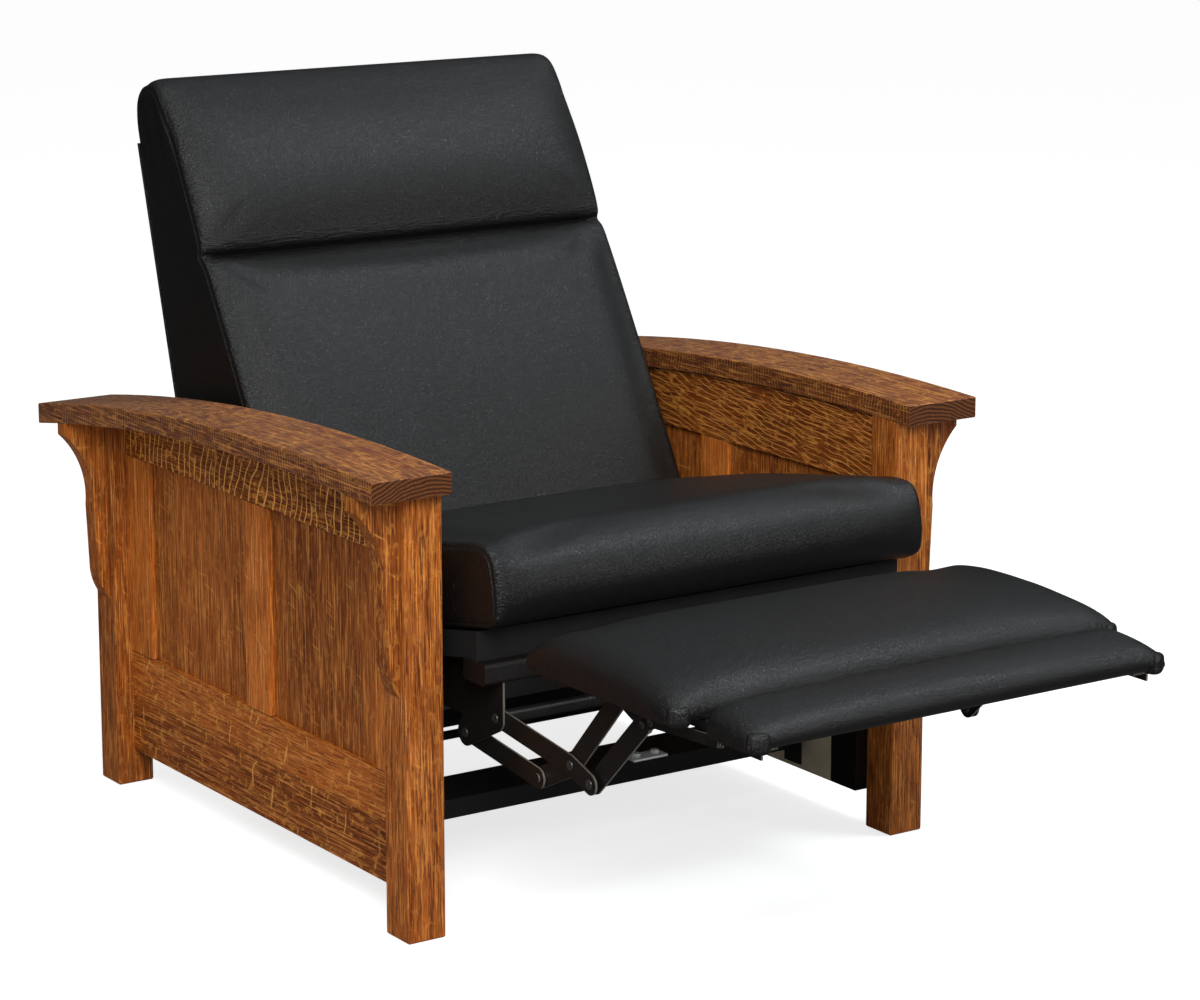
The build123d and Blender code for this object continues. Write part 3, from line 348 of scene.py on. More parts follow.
def makeLeatherGrain():
    tree, given = newGroup("leatherGrain", {"Vector": None, "Seam": 1.0, "Pebble": 620.0})
    vector = given["Vector"]
    soft = noise(vector, 260, 3, 0.6)
    cells = addNode(tree, "TexVoronoi", {"Vector": vector, "Scale": given["Pebble"]}, feature="DISTANCE_TO_EDGE")
    cells = step(wires(tree, cells)["Distance"], 0.0, 0.28)
    wear = noise(vector, 38, 4, 0.6)
    # the dark line along the seams, which also paints shade round the corner tabs' rims
    line = step(given["Seam"], 0.0004, 0.0022)
    colour = mixColour(noise(vector, 7, 3, 0.5), leather["dark"], leather["light"])
    rough = (wear + soft) * 0.14 + leather["roughness"] + (1.0 - line) * 0.3
    # small gathers drawn across into the side seams
    gathers = noise(stretched(vector, (42, 280, 280)), 1, 2, 0.6, 0.3)
    near = 1.0 - step(given["Seam"], 0.003, 0.026)
    height = cells * 0.22 + soft * 0.46 + line * 1.2 + gathers * near * 1.8
    return giveOut(tree, {"Color": mixColour(line, leather["seam"], colour), "Roughness": rough, "Height": height})


leatherGrain = makeLeatherGrain()


def leatherMaterial(name, seamed, warm=0.0):
    material, tree, where = newMaterial(name, {"Roughness": 0.45, "Specular IOR Level": 0.42})
    values = {"Vector": where["Object"], "Pebble": leather["pebble"]}
    if seamed:
        values["Seam"] = wires(tree, addNode(tree, "Attribute", {}, attribute_name="seam"))["Fac"]
    grain = place(tree, leatherGrain, values)
    colour = mixColour(warm, grain["Color"], leather["worn"])
    return finishMaterial(material, {"Base Color": colour, "Roughness": grain["Roughness"]},
                          grain["Height"], *leather["bump"])


seamedLeather = leatherMaterial("seamedLeather", True)
wrapLeather = leatherMaterial("wrapLeather", False, 0.08)


# metals, plywood and the cloth under the seat
def makeWornPaint():
    tree, given = newGroup("wornPaint", {
        "Vector": None, "Dark": (0.01, 0.01, 0.01, 1), "Light": (0.03, 0.03, 0.03, 1), "Low": 0.3, "High": 0.5,
    })
    cloud = noise(given["Vector"], 30, 4, 0.6)
    dust = step(noise(given["Vector"], 420, 2, 0.6), 0.58, 0.70)
    colour = mixColour(cloud, given["Dark"], given["Light"])
    rough = cloud * (given["High"] - given["Low"]) + given["Low"]
    return giveOut(tree, {"Color": mixColour(dust * 0.25, colour, given["Light"]), "Roughness": rough,
                          "Height": noise(given["Vector"], 900, 3, 0.6)})


wornPaint = makeWornPaint()


def paintMaterial(name, dark, light, low, high, settings, bumpHeight=0.0002, paintedEdgeHighlights=False):
    material, tree, where = newMaterial(name, settings)
    paint = place(tree, wornPaint, {"Vector": where["Object"], "Dark": (*dark, 1), "Light": (*light, 1),
                                    "Low": low, "High": high})
    results = {"Base Color": paint["Color"], "Roughness": paint["Roughness"]}
    if paintedEdgeHighlights:  # painted highlight: the flat bars' edge faces get a lighter colour in patches, and metal to reflect the ceiling
        edge = 1.0 - step(abs(split(where["Normal"])[0]), 0.2, 0.6)
        share = edge * (step(noise(where["Object"], 45, 3, 0.6), 0.36, 0.62) * 0.65 + 0.35)
        results["Base Color"] = mixColour(share, paint["Color"], (0.36, 0.32, 0.27, 1))
        results["Metallic"] = share * 0.8
    return finishMaterial(material, results, paint["Height"], bumpHeight, 0.4)


steel = paintMaterial("blackSteel", (0.008, 0.008, 0.0075), (0.020, 0.019, 0.018), 0.30, 0.48,
                      {"Specular IOR Level": 0.4})
rivetSteel = paintMaterial("rivetSteel", (0.05, 0.05, 0.05), (0.16, 0.16, 0.155), 0.24, 0.4, {"Metallic": 0.85})
zinc = paintMaterial("zincPlate", (0.80, 0.84, 0.83), (0.96, 0.98, 0.97), 0.3, 0.5, {"Metallic": 0.1})
plywood = paintMaterial("barePlywood", (0.40, 0.33, 0.21), (0.62, 0.56, 0.42), 0.55, 0.75, {}, 0.0004)
blackCloth = paintMaterial("blackCloth", (0.006, 0.006, 0.006), (0.014, 0.0135, 0.013), 0.7, 0.9,
                           {"Specular IOR Level": 0.2}, 0.0006)
blackRail = paintMaterial("blackRail", (0.006, 0.006, 0.006), (0.013, 0.013, 0.012), 0.42, 0.6, {})
linkSteel = paintMaterial("linkSteel", (0.004, 0.004, 0.0036), (0.011, 0.0105, 0.0095), 0.3, 0.48,
                          {"Specular IOR Level": 0.2}, paintedEdgeHighlights=True)
slotMaterials = {"steel": steel, "rivet_steel": rivetSteel, "zinc": zinc, "plywood": plywood,
                 "black_wood": blackCloth, "leather": wrapLeather}
for entry in frame["record"]["subparts"]:
    if entry["material_slot"] in slotMaterials:
        dress(entry["node"], slotMaterials[entry["material_slot"]])
for name in ("front_cross_rail", "rear_cross_rail", "base_rails"):
    dress(name, blackRail)
for name in ("upper_links", "lower_links", "bent_links", "front_links", "flipper_links", "front_swing_links",
             "rear_swing_links", "side_plates", "ottoman_brackets", "extension_brackets"):
    dress(name, linkSteel)
print("finishes done")


# surfaces
# A smooth closed line through its points: centripetal Catmull-Rom, each span worked out at once
def throughPoints(points, steps=24):
    p0, p1, p2, p3 = (np.roll(points, shift, 0)[:, None, :] for shift in (1, 0, -1, -2))
    gap = lambda a, b: np.sqrt(np.linalg.norm(b - a, axis=2, keepdims=True)) + 1e-9
    t1 = gap(p0, p1)
    t2 = t1 + gap(p1, p2)
    t3 = t2 + gap(p2, p3)
    t = t1 + (t2 - t1) * np.linspace(0, 1, steps, endpoint=False)[None, :, None]
    a1 = (t1 - t) / t1 * p0 + t / t1 * p1
    a2 = (t2 - t) / (t2 - t1) * p1 + (t - t1) / (t2 - t1) * p2
    a3 = (t3 - t) / (t3 - t2) * p2 + (t - t2) / (t3 - t2) * p3
    b1 = (t2 - t) / t2 * a1 + t / t2 * a2
    b2 = (t3 - t) / (t3 - t1) * a2 + (t - t1) / (t3 - t1) * a3
    return ((t2 - t) / (t2 - t1) * b1 + (t - t1) / (t2 - t1) * b2).reshape(-1, 2)


# The same line, shared out evenly by length between its four corners
def outlineLoop(points, corners, counts, steps=24):
    dense = throughPoints(np.asarray(points, float), steps)
    total = len(dense)
    runs = []
    for corner, (first, last) in enumerate(zip(corners, corners[1:] + [corners[0] + len(points)])):
        piece = dense[np.arange(first * steps, last * steps + 1) % total]
        length = np.concatenate([[0], np.cumsum(np.linalg.norm(np.diff(piece, axis=0), axis=1))])
        want = np.linspace(0, length[-1], counts[corner] + 1)[:-1]
        runs.append(np.stack([np.interp(want, length, piece[:, axis]) for axis in (0, 1)], -1))
    return np.concatenate(runs)


# Draws a loop in by a distance along its own normals
def inset(loop, distance):
    along = np.roll(loop, -1, 0) - np.roll(loop, 1, 0)
    normal = np.stack([along[:, 1], -along[:, 0]], -1)
    normal /= np.linalg.norm(normal, axis=1, keepdims=True) + 1e-12
    area = np.sum(loop[:, 0] * np.roll(loop[:, 1], -1) - np.roll(loop[:, 0], -1) * loop[:, 1])
    return loop - normal * np.sign(area) * distance


# How far a quarter circle at the side has dropped at x, as a share of its radius
def roundDrop(x, halfWidth, radius):
    return 1 - math.sqrt(1 - np.clip((abs(x) - (halfWidth - radius)) / radius, 0, 1) ** 2)


# A piece's loop at x, drawn in where its sides turn round
def turnedLoop(points, x, sizes):
    drop = roundDrop(x, sizes["halfWidth"], sizes["turn"])
    return inset(outlineLoop(points, sizes["corners"], sizes["counts"]), sizes["turn"] * drop)


def tuckEnds(loops, distance):
    loops = np.array(loops)
    loops[[0, -1]] = [inset(loops[end], distance) for end in (0, -1)]
    return loops


def meshPiece(name, verts, faces, material, body, closed=True):
    mesh = bpy.data.meshes.new(name)
    faces = np.asarray(faces)
    if closed:  # turned round if its volume comes out below zero
        a, b, c, d = (verts[faces[:, k]] for k in range(4))
        if np.sum(a * np.cross(b, c)) + np.sum(a * np.cross(c, d)) < 0:
            faces = faces[:, ::-1]
    mesh.from_pydata(verts.tolist(), [], faces.tolist())
    mesh.polygons.foreach_set("use_smooth", np.ones(len(mesh.polygons), bool))
    mesh.materials.append(material)
    mesh.update()
    piece = bpy.data.objects.new(name, mesh)
    scene.collection.objects.link(piece)
    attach(piece, body)
    return piece


def gridFaces(index, closedLoop=False):  # quads between neighbouring rows of an index table
    if closedLoop:
        index = np.concatenate([index, index[:, :1]], 1)
    return np.stack([index[:-1, :-1], index[1:, :-1], index[1:, 1:], index[:-1, 1:]], -1).reshape(-1, 4)


# Quads laid across a ring of an even number of points, so that its open end is closed
def ringCap(ring):
    k = np.arange(len(ring) // 2 - 1)
    return np.stack([ring[k], ring[k + 1], ring[len(ring) - 2 - k], ring[len(ring) - 1 - k]], -1)


# A stuffed form: side-view loops carried across X, closed at each end by a Coons patch.
# counts are the loop's points along its front, top, rear and bottom
def boxForm(loops, stations, counts, endPuff):
    up, back = counts[0], counts[1]
    rows, ring = loops.shape[0], loops.shape[1]
    xs = np.broadcast_to(stations[:, None], (rows, ring))
    band = np.concatenate([xs[..., None], loops], -1).reshape(-1, 3)
    index = np.arange(rows * ring).reshape(rows, ring)
    verts = [band]
    faces = [gridFaces(index, True)]
    count = len(band)
    edges = lambda quads: map(tuple, np.stack([quads, np.roll(quads, -1, 1)], -1).reshape(-1, 2).tolist())
    bandEdges = set(edges(faces[0]))
    front = np.arange(0, up + 1)
    top = np.arange(up, up + back + 1)
    rear = np.arange(2 * up + back, up + back - 1, -1)
    bottom = np.arange(2 * up + 2 * back, 2 * up + back - 1, -1) % ring
    u = np.linspace(0, 1, up + 1)[:, None, None]
    v = np.linspace(0, 1, back + 1)[None, :, None]
    for row, side in ((0, -1), (rows - 1, 1)):
        order = index[row]
        f, r, t, b = (loops[row][k % ring] for k in (front, rear, top, bottom))
        patch = (1 - v) * f[:, None] + v * r[:, None] + u * t[None] + (1 - u) * b[None]
        patch = patch - ((1 - u) * (1 - v) * f[0] + (1 - u) * v * r[0] + u * (1 - v) * f[-1] + u * v * r[-1])
        puffShare = (1 - (2 * u[..., 0] - 1) ** 4) * (1 - (2 * v[..., 0] - 1) ** 4)
        x = stations[row] + side * endPuff * puffShare
        table = np.full((up + 1, back + 1), -1)
        table[:, 0] = order[front % ring]
        table[:, -1] = order[rear % ring]
        table[-1, :] = order[top % ring]
        table[0, :] = order[bottom % ring]
        inner = (up - 1) * (back - 1)
        table[1:-1, 1:-1] = count + np.arange(inner).reshape(up - 1, back - 1)
        verts.append(np.concatenate([x[1:-1, 1:-1, None], patch[1:-1, 1:-1]], -1).reshape(-1, 3))
        cap = gridFaces(table)
        # the cap winds against the band where the shared edge runs the same way in both
        same = sum(edge in bandEdges for edge in edges(cap))
        faces.append(cap[:, ::-1] if same > sum(edge[::-1] in bandEdges for edge in edges(cap)) else cap)
        count += inner
    return np.concatenate(verts), np.concatenate(faces), index


def readValues(data, label, width=3):
    flat = np.empty(len(data) * width)
    data.foreach_get(label, flat)
    return flat.reshape(-1, width)


def readPoints(piece):
    return readValues(piece.data.vertices, "co")


def readNormals(piece):
    return readValues(piece.data.vertex_normals, "vector")


def writePoints(piece, points):
    piece.data.vertices.foreach_set("co", np.ascontiguousarray(points, float).ravel())
    piece.data.update()


def giveAttribute(piece, name, values):
    layer = piece.data.attributes.new(name, "FLOAT", "POINT")
    layer.data.foreach_set("value", np.ascontiguousarray(values, np.float32))


def takeAttribute(piece, name):
    return readValues(piece.data.attributes[name].data, "value", 1)[:, 0]


clothLook = {"quality": 6, "mass": 0.3, "tension_stiffness": 18, "compression_stiffness": 12, "shear_stiffness": 8,
             "use_pressure": True, "uniform_pressure_force": 3.0, "vertex_group_mass": "held"}
clothFrames = 20


# Blows a piece up with Blender's cloth: points whose freedom is 0 are held, and none moves past the cap
def puff(piece, sizes, freedom):
    before = readPoints(piece)
    group = piece.vertex_groups.new(name="held")
    group.add(np.flatnonzero(freedom <= 0).tolist(), 1.0, "REPLACE")
    cloth = piece.modifiers.new("Cloth", "CLOTH")
    for label, value in clothLook.items():
        setattr(cloth.settings, label, value)
    cloth.settings.bending_stiffness = sizes["bending"]
    cloth.settings.effector_weights.gravity = 0
    cloth.collision_settings.use_collision = False
    cloth.point_cache.frame_end = clothFrames
    for current in range(1, clothFrames + 1):
        scene.frame_set(current)
    move = readPoints(piece.evaluated_get(bpy.context.evaluated_depsgraph_get())) - before
    length = np.linalg.norm(move, axis=1, keepdims=True) + 1e-9
    piece.modifiers.remove(cloth)
    piece.vertex_groups.remove(group)
    cap = sizes["cap"]
    writePoints(piece, before + move / length * cap * np.tanh(length / cap) * freedom[:, None])
    scene.frame_set(1)
    print(piece.name, "puffed by up to", round(float(length.max()) * 1000, 1), "mm")


def smooth01(value):
    value = np.clip(value, 0, 1)
    return value * value * (3 - 2 * value)


def freedomNear(verts, kept, stations, fade):  # none where kept, growing over fade mm in from the side seams
    inside = abs(stations[0]) - np.abs(verts[:, 0]) / mm
    return smooth01(inside / fade) * ~kept


def subdivideOnce(piece):
    modifier = piece.modifiers.new("Subdivision", "SUBSURF")
    modifier.levels = modifier.render_levels = 1
    graph = bpy.context.evaluated_depsgraph_get()
    mesh = bpy.data.meshes.new_from_object(piece.evaluated_get(graph), preserve_all_data_layers=True,
                                           depsgraph=graph)
    piece.modifiers.remove(modifier)
    old = piece.data
    piece.data = mesh
    bpy.data.meshes.remove(old)
    mesh.name = piece.name


# Where each station lies: even across the middle, closer where the ends turn round
def stationsFor(halfWidth, turnRadius, spacing, turnSteps, lastShare):
    flat = halfWidth - turnRadius
    middle = np.linspace(-flat, flat, int(2 * flat / spacing) + 1)
    angles = np.linspace(0, math.asin(lastShare), turnSteps + 1)[1:]
    turn = flat + turnRadius * np.sin(angles)
    return np.concatenate([-turn[::-1], middle, turn])


def sideStations(sizes):
    return stationsFor(sizes["halfWidth"], sizes["turn"], sizes["spacing"], 5, 0.86)


# seat cushion
seat = {
    "corner": (-92.0, 428.2), "tilt": math.radians(10.6), "halfWidth": 350.0, "turn": 13.0, "tuck": 1.6,
    "spacing": 9.0, "counts": (16, 62, 16, 60), "cap": 0.007, "bending": 6.0, "fade": 60,
    "outline": [  # mm back along the seat's tilt, and up from its underside
        (60, 3), (28, 5), (6, 16), (-9, 38), (-13, 62), (-7, 86), (12, 104), (44, 113),
        (110, 116), (210, 118), (320, 118), (430, 115), (500, 111), (528, 104),
        (528, 88), (514, 50), (497, 12), (480, 4), (420, 3), (260, 3), (150, 3),
    ],
    # the outline's first eight points at the sides, where the front is sharper
    "sideFront": [(60, 3), (20, 4), (2, 10), (-6, 30), (-9, 60), (-7, 90), (2, 107), (26, 115)],
    "corners": [2, 7, 13, 16], "boxing": 97.0, "crown": 6, "gathers": 0.5, "slack": 0.35,
}


def seatPlace(points):  # from the seat's tilted plane to row metres
    tilt = seat["tilt"]
    y = seat["corner"][0] + points[..., 0] * math.cos(tilt) + points[..., 1] * math.sin(tilt)
    z = seat["corner"][1] - points[..., 0] * math.sin(tilt) + points[..., 1] * math.cos(tilt)
    return rowPlace(y, z)


def makeSeat():
    stations = sideStations(seat)
    base = np.array(seat["outline"], float)
    loops = []
    for x in stations:
        share = abs(x) / seat["halfWidth"]
        points = base.copy()
        points[:8] += (np.array(seat["sideFront"], float) - points[:8]) * share ** 10
        points[:, 1] += seat["crown"] * (1 - share ** 4) * smooth01((points[:, 1] - 80) / 30)
        points[3:6, 0] -= 3 * (1 - share ** 6)
        loops.append(turnedLoop(points, x, seat))
    loops = tuckEnds(loops, seat["tuck"])
    verts, faces, index = boxForm(seatPlace(loops), stations * mm, seat["counts"], 4 * mm)
    piece = meshPiece("seatCushionLeather", verts, faces, seamedLeather, "carriage")
    up, back = seat["counts"][:2]
    kept = np.zeros(len(verts), bool)
    kept[index[:, 2 * up + back:].ravel()] = True   # the underside rests on its deck
    kept[index[[0, -1]].ravel()] = True             # the side seams hold
    puff(piece, seat, freedomNear(verts, kept, stations, seat["fade"]))
    seamGap = np.abs(np.abs(verts[:, 0]) - abs(stations[0]) * mm)
    capPoints = np.arange(len(verts)) >= index.size
    loopPoints = verts[index[0], 1:]
    far = np.array([np.linalg.norm(loopPoints - p, axis=1).min() for p in verts[capPoints, 1:]])
    # a seam crosses each side where the front boxing ends
    across = verts[capPoints, 1] / mm - frameFront - seat["corner"][0]
    seamGap[capPoints] = np.minimum(far, np.abs(across - seat["boxing"]) * mm)
    giveAttribute(piece, "seam", seamGap)
    subdivideOnce(piece)
    # fine gathers beside the side seams, strongest round the front, and slack waves on the top
    points = readPoints(piece)
    normals = readNormals(piece)
    gap = takeAttribute(piece, "seam")
    run = (points[:, 1] + points[:, 2] * 1.3) * 1000
    ripple = np.sin(run / 2.3 + 2 * np.sin(run / 11)) * np.exp(-gap / 0.012) * smooth01(gap / 0.004)
    frontShare = smooth01((-0.17 - points[:, 1]) / 0.06)
    slack = np.sin(points[:, 0] * 21 + 3 * np.sin(points[:, 1] * 17)) * np.sin(points[:, 1] * 26 + points[:, 0] * 5)
    topShare = smooth01((normals[:, 2] - 0.3) / 0.5)
    lift = ripple * frontShare * seat["gathers"] * mm + slack * topShare * seat["slack"] * mm
    writePoints(piece, points + normals * lift[:, None])
    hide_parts("seat_cushion")
    print("seat done", len(piece.data.polygons))


makeSeat()

# back: front panel with a head roll, boxed sides, wrapped top and frame
back = {
    "foot": (436.8312, 372.0), "lean": math.radians(29.8), "halfWidth": 345.0, "turn": 11.0, "tuck": 1.5,
    "spacing": 9.0, "counts": (92, 8, 92, 8), "cap": 0.007, "bending": 1.2, "fade": 60,
    "channel": 508.0, "sideFade": 95, "cornerRadius": 26, "cornerDrop": 15,
    "front": [  # mm up the slope, out at the sides, and more in the middle
        (3, -22, 0), (10, -5, 0), (32, 1, 2), (90, 2, 6), (190, 3, 10), (300, 3, 11), (400, 2, 9),
        (462, 0, 8), (490, -2, 4), (503, -7, -6), (508, -11, -14), (508, -5, -7), (513, -2, 1),
        (530, 1, 9), (566, 3, 17), (630, 3, 21), (700, 2, 16), (748, 0, 8), (776, -6, 3), (789, -20, 0),
    ],
    "rear": [
        (866, 1039), (880, 1034), (887, 1022), (887, 985), (883, 950), (861, 870), (834, 770), (806, 670),
        (779, 570), (751, 470), (733, 400), (727, 376), (715, 372.5), (640, 372), (540, 372), (470, 372), (449, 373),
    ],
    "corners": [0, 19, 22, 31],
}


def backPlace(u, v):  # from the back's sloping plane to mm back and up
    lean = back["lean"]
    y = back["foot"][0] + u * math.sin(lean) - v * math.cos(lean)
    z = back["foot"][1] + u * math.cos(lean) + v * math.sin(lean)
    return np.stack([y, z], -1)


def makeBack():
    stations = sideStations(back)
    front = np.array(back["front"], float)
    rear = np.array(back["rear"], float)
    loops = []
    for x in stations:
        full = 1 - (1 - np.clip((back["halfWidth"] - abs(x)) / back["sideFade"], 0, 1)) ** 3
        points = np.concatenate([backPlace(front[:, 0], front[:, 1] + front[:, 2] * full), rear])
        # the top corners turn down at the sides
        drop = back["cornerDrop"] * roundDrop(x, back["halfWidth"], back["cornerRadius"])
        points[:, 1] -= drop * smooth01((points[:, 1] - 960) / 70)
        loops.append(turnedLoop(points, x, back))
    loops = tuckEnds(loops, back["tuck"])
    verts, faces, index = boxForm(rowPlace(loops[..., 0], loops[..., 1]), stations * mm, back["counts"], 2 * mm)
    piece = meshPiece("backLeather", verts, faces, seamedLeather, "back")
    up, across = back["counts"][:2]
    lean = back["lean"]
    y = verts[:, 1] / mm - frameFront - back["foot"][0]
    z = verts[:, 2] / mm - back["foot"][1]
    slope = y * math.sin(lean) + z * math.cos(lean)
    onFront = np.zeros(len(verts), bool)
    onFront[index[:, :up].ravel()] = True
    channelGap = np.where(onFront, np.abs(slope - back["channel"]), 1000) * mm
    capPoints = np.arange(len(verts)) >= index.size
    # the channel, the top edge, the sides and the frame hold
    kept = capPoints | onFront & (channelGap < 4 * mm) | (slope > 735)
    kept[index[:, up + across:].ravel()] = True
    kept[index[[0, -1]].ravel()] = True
    puff(piece, back, freedomNear(verts, kept, stations, back["fade"]))
    sideGap = np.abs(np.abs(verts[:, 0]) - abs(stations[0]) * mm)
    frontLine = verts[index[0, :up + across]][:, 1:]
    sideGap[capPoints] = [np.linalg.norm(frontLine - p, axis=1).min() for p in verts[capPoints, 1:]]
    sideGap[index[:, up + across + 2:].ravel()] = 0.05  # no seams on the rear and underneath
    giveAttribute(piece, "seam", np.minimum(sideGap, channelGap))
    giveAttribute(piece, "slope", slope * mm)
    subdivideOnce(piece)
    points = readPoints(piece)
    normals = readNormals(piece)
    edge = back["halfWidth"] - np.abs(points[:, 0]) * 1000
    onFace = smooth01((-normals[:, 1] - 0.2) / 0.4)
    # gathers fanning out below each end of the channel
    below = back["channel"] - takeAttribute(piece, "slope") * 1000
    fan = np.sin((below + edge * 0.9) / 2.6 + np.sin(edge / 7)) * np.exp(-np.clip(below, 0, 999) / 26)
    fan = fan * (below > 0) * np.exp(-((edge - 16) / 26) ** 2) * smooth01(edge / 8)
    puckers = np.sin(points[:, 0] * 1000 / 5.5 + 2.2 * np.sin(points[:, 0] * 31)) * np.exp(-np.abs(below) / 9)
    lift = onFace * (fan * 1.1 + puckers * 0.35) * mm
    # soft folds in the sides below the top corner
    onSide = smooth01((np.abs(normals[:, 0]) - 0.5) / 0.4) * smooth01((edge < 8) * 1.0)
    fall = 1047.9 - points[:, 2] * 1000
    fold = np.sin((points[:, 1] * 1000 * 0.85 + fall * 0.32) / 5.2) * np.exp(-((fall - 75) / 60) ** 2)
    lift += onSide * fold * 1.5 * mm
    writePoints(piece, points + normals * lift[:, None])
    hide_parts("back_cushion", "back_side_panels", "back_top_rail")
    print("back done", len(piece.data.polygons))


makeBack()

# the panel across the back's rear: a slab with round edges, slightly crowned
rearPanel = {"halfWidth": 343.0, "round": 5.0, "crown": 2.0, "rows": 60, "columns": 64,
             "low": (727.8, 373.0), "high": (886.2, 949.6), "thick": 4.0}


# Grid over height and width, carried out from the frame by a rounded-edge profile
def makeRearPanel():
    rows, columns = rearPanel["rows"], rearPanel["columns"]
    v = np.linspace(-1, 1, rows)[:, None] * np.ones((1, columns))
    u = np.linspace(-1, 1, columns)[None, :] * np.ones((rows, 1))
    u, v = np.sin(u * math.pi / 2), np.sin(v * math.pi / 2)
    low, high = np.array(rearPanel["low"]), np.array(rearPanel["high"])
    direction = (high - low) / np.linalg.norm(high - low)
    half = np.linalg.norm(high - low) / 2
    edge = np.minimum((1 - np.abs(u)) * rearPanel["halfWidth"], (1 - np.abs(v)) * half)
    out = np.sqrt(np.clip(1 - (1 - np.clip(edge / rearPanel["round"], 0, 1)) ** 2, 0, 1)) * rearPanel["thick"]
    out = out + rearPanel["crown"] * (1 - u ** 4) * (1 - v ** 4)
    middle = (low + high) / 2
    innerY = middle[0] + direction[0] * v * half
    innerZ = middle[1] + direction[1] * v * half
    outer = rowPoints(u * rearPanel["halfWidth"], innerY + direction[1] * out, innerZ - direction[0] * out)
    inner = rowPoints(u * rearPanel["halfWidth"], innerY, innerZ)
    index = np.arange(rows * columns).reshape(rows, columns)
    border = np.concatenate([index[0, :-1], index[:-1, -1], index[-1, :0:-1], index[:0:-1, 0]])
    wall = np.stack([border, np.roll(border, -1), np.roll(border, -1) + rows * columns, border + rows * columns], -1)
    faces = np.concatenate([gridFaces(index), gridFaces(index)[:, ::-1] + rows * columns, wall])
    piece = meshPiece("outsideBackLeather", np.concatenate([outer, inner]), faces, wrapLeather, "back")
    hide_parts("outside_back_panel")


makeRearPanel()

# footrest pads
ottoman = {
    "halfWidth": 355.0, "turn": 17.0, "roll": 52.0, "spacing": 9.0, "counts": (8, 40, 8, 38),
    "cap": 0.006, "bending": 12.0, "fade": 150,
    "outline": [
        (-470, 401), (-481, 404), (-487, 412), (-486, 423), (-477, 435), (-455, 446), (-400, 455), (-310, 460),
        (-235, 457), (-198, 450), (-172, 438), (-160, 426), (-158, 414), (-164, 404), (-174, 401), (-240, 401),
        (-320, 401), (-400, 401),
    ],
    "corners": [1, 4, 10, 13], "middle": -321.0, "under": 401.0, "body": "ottoman", "node": "ottoman_pad",
}
extension = {
    "halfWidth": 326.0, "turn": 15.0, "roll": 40.0, "spacing": 9.0, "counts": (7, 14, 7, 12),
    "cap": 0.005, "bending": 12.0, "fade": 150,
    "outline": [
        (-586, 393), (-599, 395), (-607, 403), (-605, 414), (-594, 424), (-568, 432), (-540, 436), (-521, 436),
        (-510, 429), (-507, 412), (-510, 398), (-518, 393), (-545, 393),
    ],
    "corners": [1, 3, 8, 10], "middle": -552.0, "under": 393.0, "body": "extension", "node": "extension_pad",
}


def makePad(name, pad):
    stations = stationsFor(pad["halfWidth"], pad["roll"], pad["spacing"], 14, 0.995)
    base = np.array(pad["outline"], float)
    reach = np.abs(base[:, 0] - pad["middle"]).max()
    loops = []
    for x in stations:
        share = abs(x) / pad["halfWidth"]
        shrink = pad["turn"] * roundDrop(x, pad["halfWidth"], pad["turn"])
        points = base.copy()
        points[:, 0] = pad["middle"] + (points[:, 0] - pad["middle"]) * (1 - shrink / reach)
        rise = points[:, 1] - pad["under"]
        rolled = roundDrop(x, pad["halfWidth"], pad["roll"])
        points[:, 1] = pad["under"] + rise * (1 - 0.08 * share ** 4 - 0.60 * rolled)
        loops.append(outlineLoop(points, pad["corners"], pad["counts"]))
    loops = np.array(loops)
    verts, faces = boxForm(rowPlace(loops[..., 0], loops[..., 1]), stations * mm, pad["counts"], 1 * mm)[:2]
    piece = meshPiece(name, verts, faces, seamedLeather, pad["body"])
    kept = verts[:, 2] < (pad["under"] + 2.5) * mm
    puff(piece, pad, freedomNear(verts, kept, stations, pad["fade"]))
    giveAttribute(piece, "seam", np.full(len(verts), 0.05))
    subdivideOnce(piece)
    points = readPoints(piece)
    normals = readNormals(piece)
    # gathers where the leather is drawn round the corners
    lift = np.zeros(len(points))
    for cornerY, strength in ((base[:, 0].min() + 22, 1.0), (base[:, 0].max() - 22, 0.6)):
        dx = np.abs(points[:, 0]) - (pad["halfWidth"] - 20) * mm
        dy = points[:, 1] - (cornerY + frameFront) * mm
        near = np.exp(-(np.hypot(dx, dy) / 0.03) ** 2) * smooth01((0.93 - normals[:, 2]) / 0.3)
        lift += strength * near * np.sin(np.arctan2(dy, dx) * 22) * 0.7 * mm
    slack = np.sin(points[:, 0] * 16 + 2 * np.sin(points[:, 1] * 23)) * np.sin(points[:, 1] * 31)
    lift += slack * smooth01((normals[:, 2] - 0.5) / 0.4) * 0.25 * mm
    writePoints(piece, points + normals * lift[:, None])
    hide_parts(pad["node"])
    print(name, "done", len(piece.data.polygons))


makePad("ottomanLeather", ottoman)
makePad("extensionLeather", extension)

# The leather tucked and gathered at each pad's front corners: a small stuffed tab with painted shade round its rim,
# a rounded box |x/a|^n + |y/b|^n + |z/c|^n = 1 turned to face out of the corner
tabs = {"wide": 15.0, "high": 13.5, "deep": 13.0, "power": 0.55, "steps": 26, "turn": math.radians(38),
        "in": 17, "behind": 12, "above": 10}


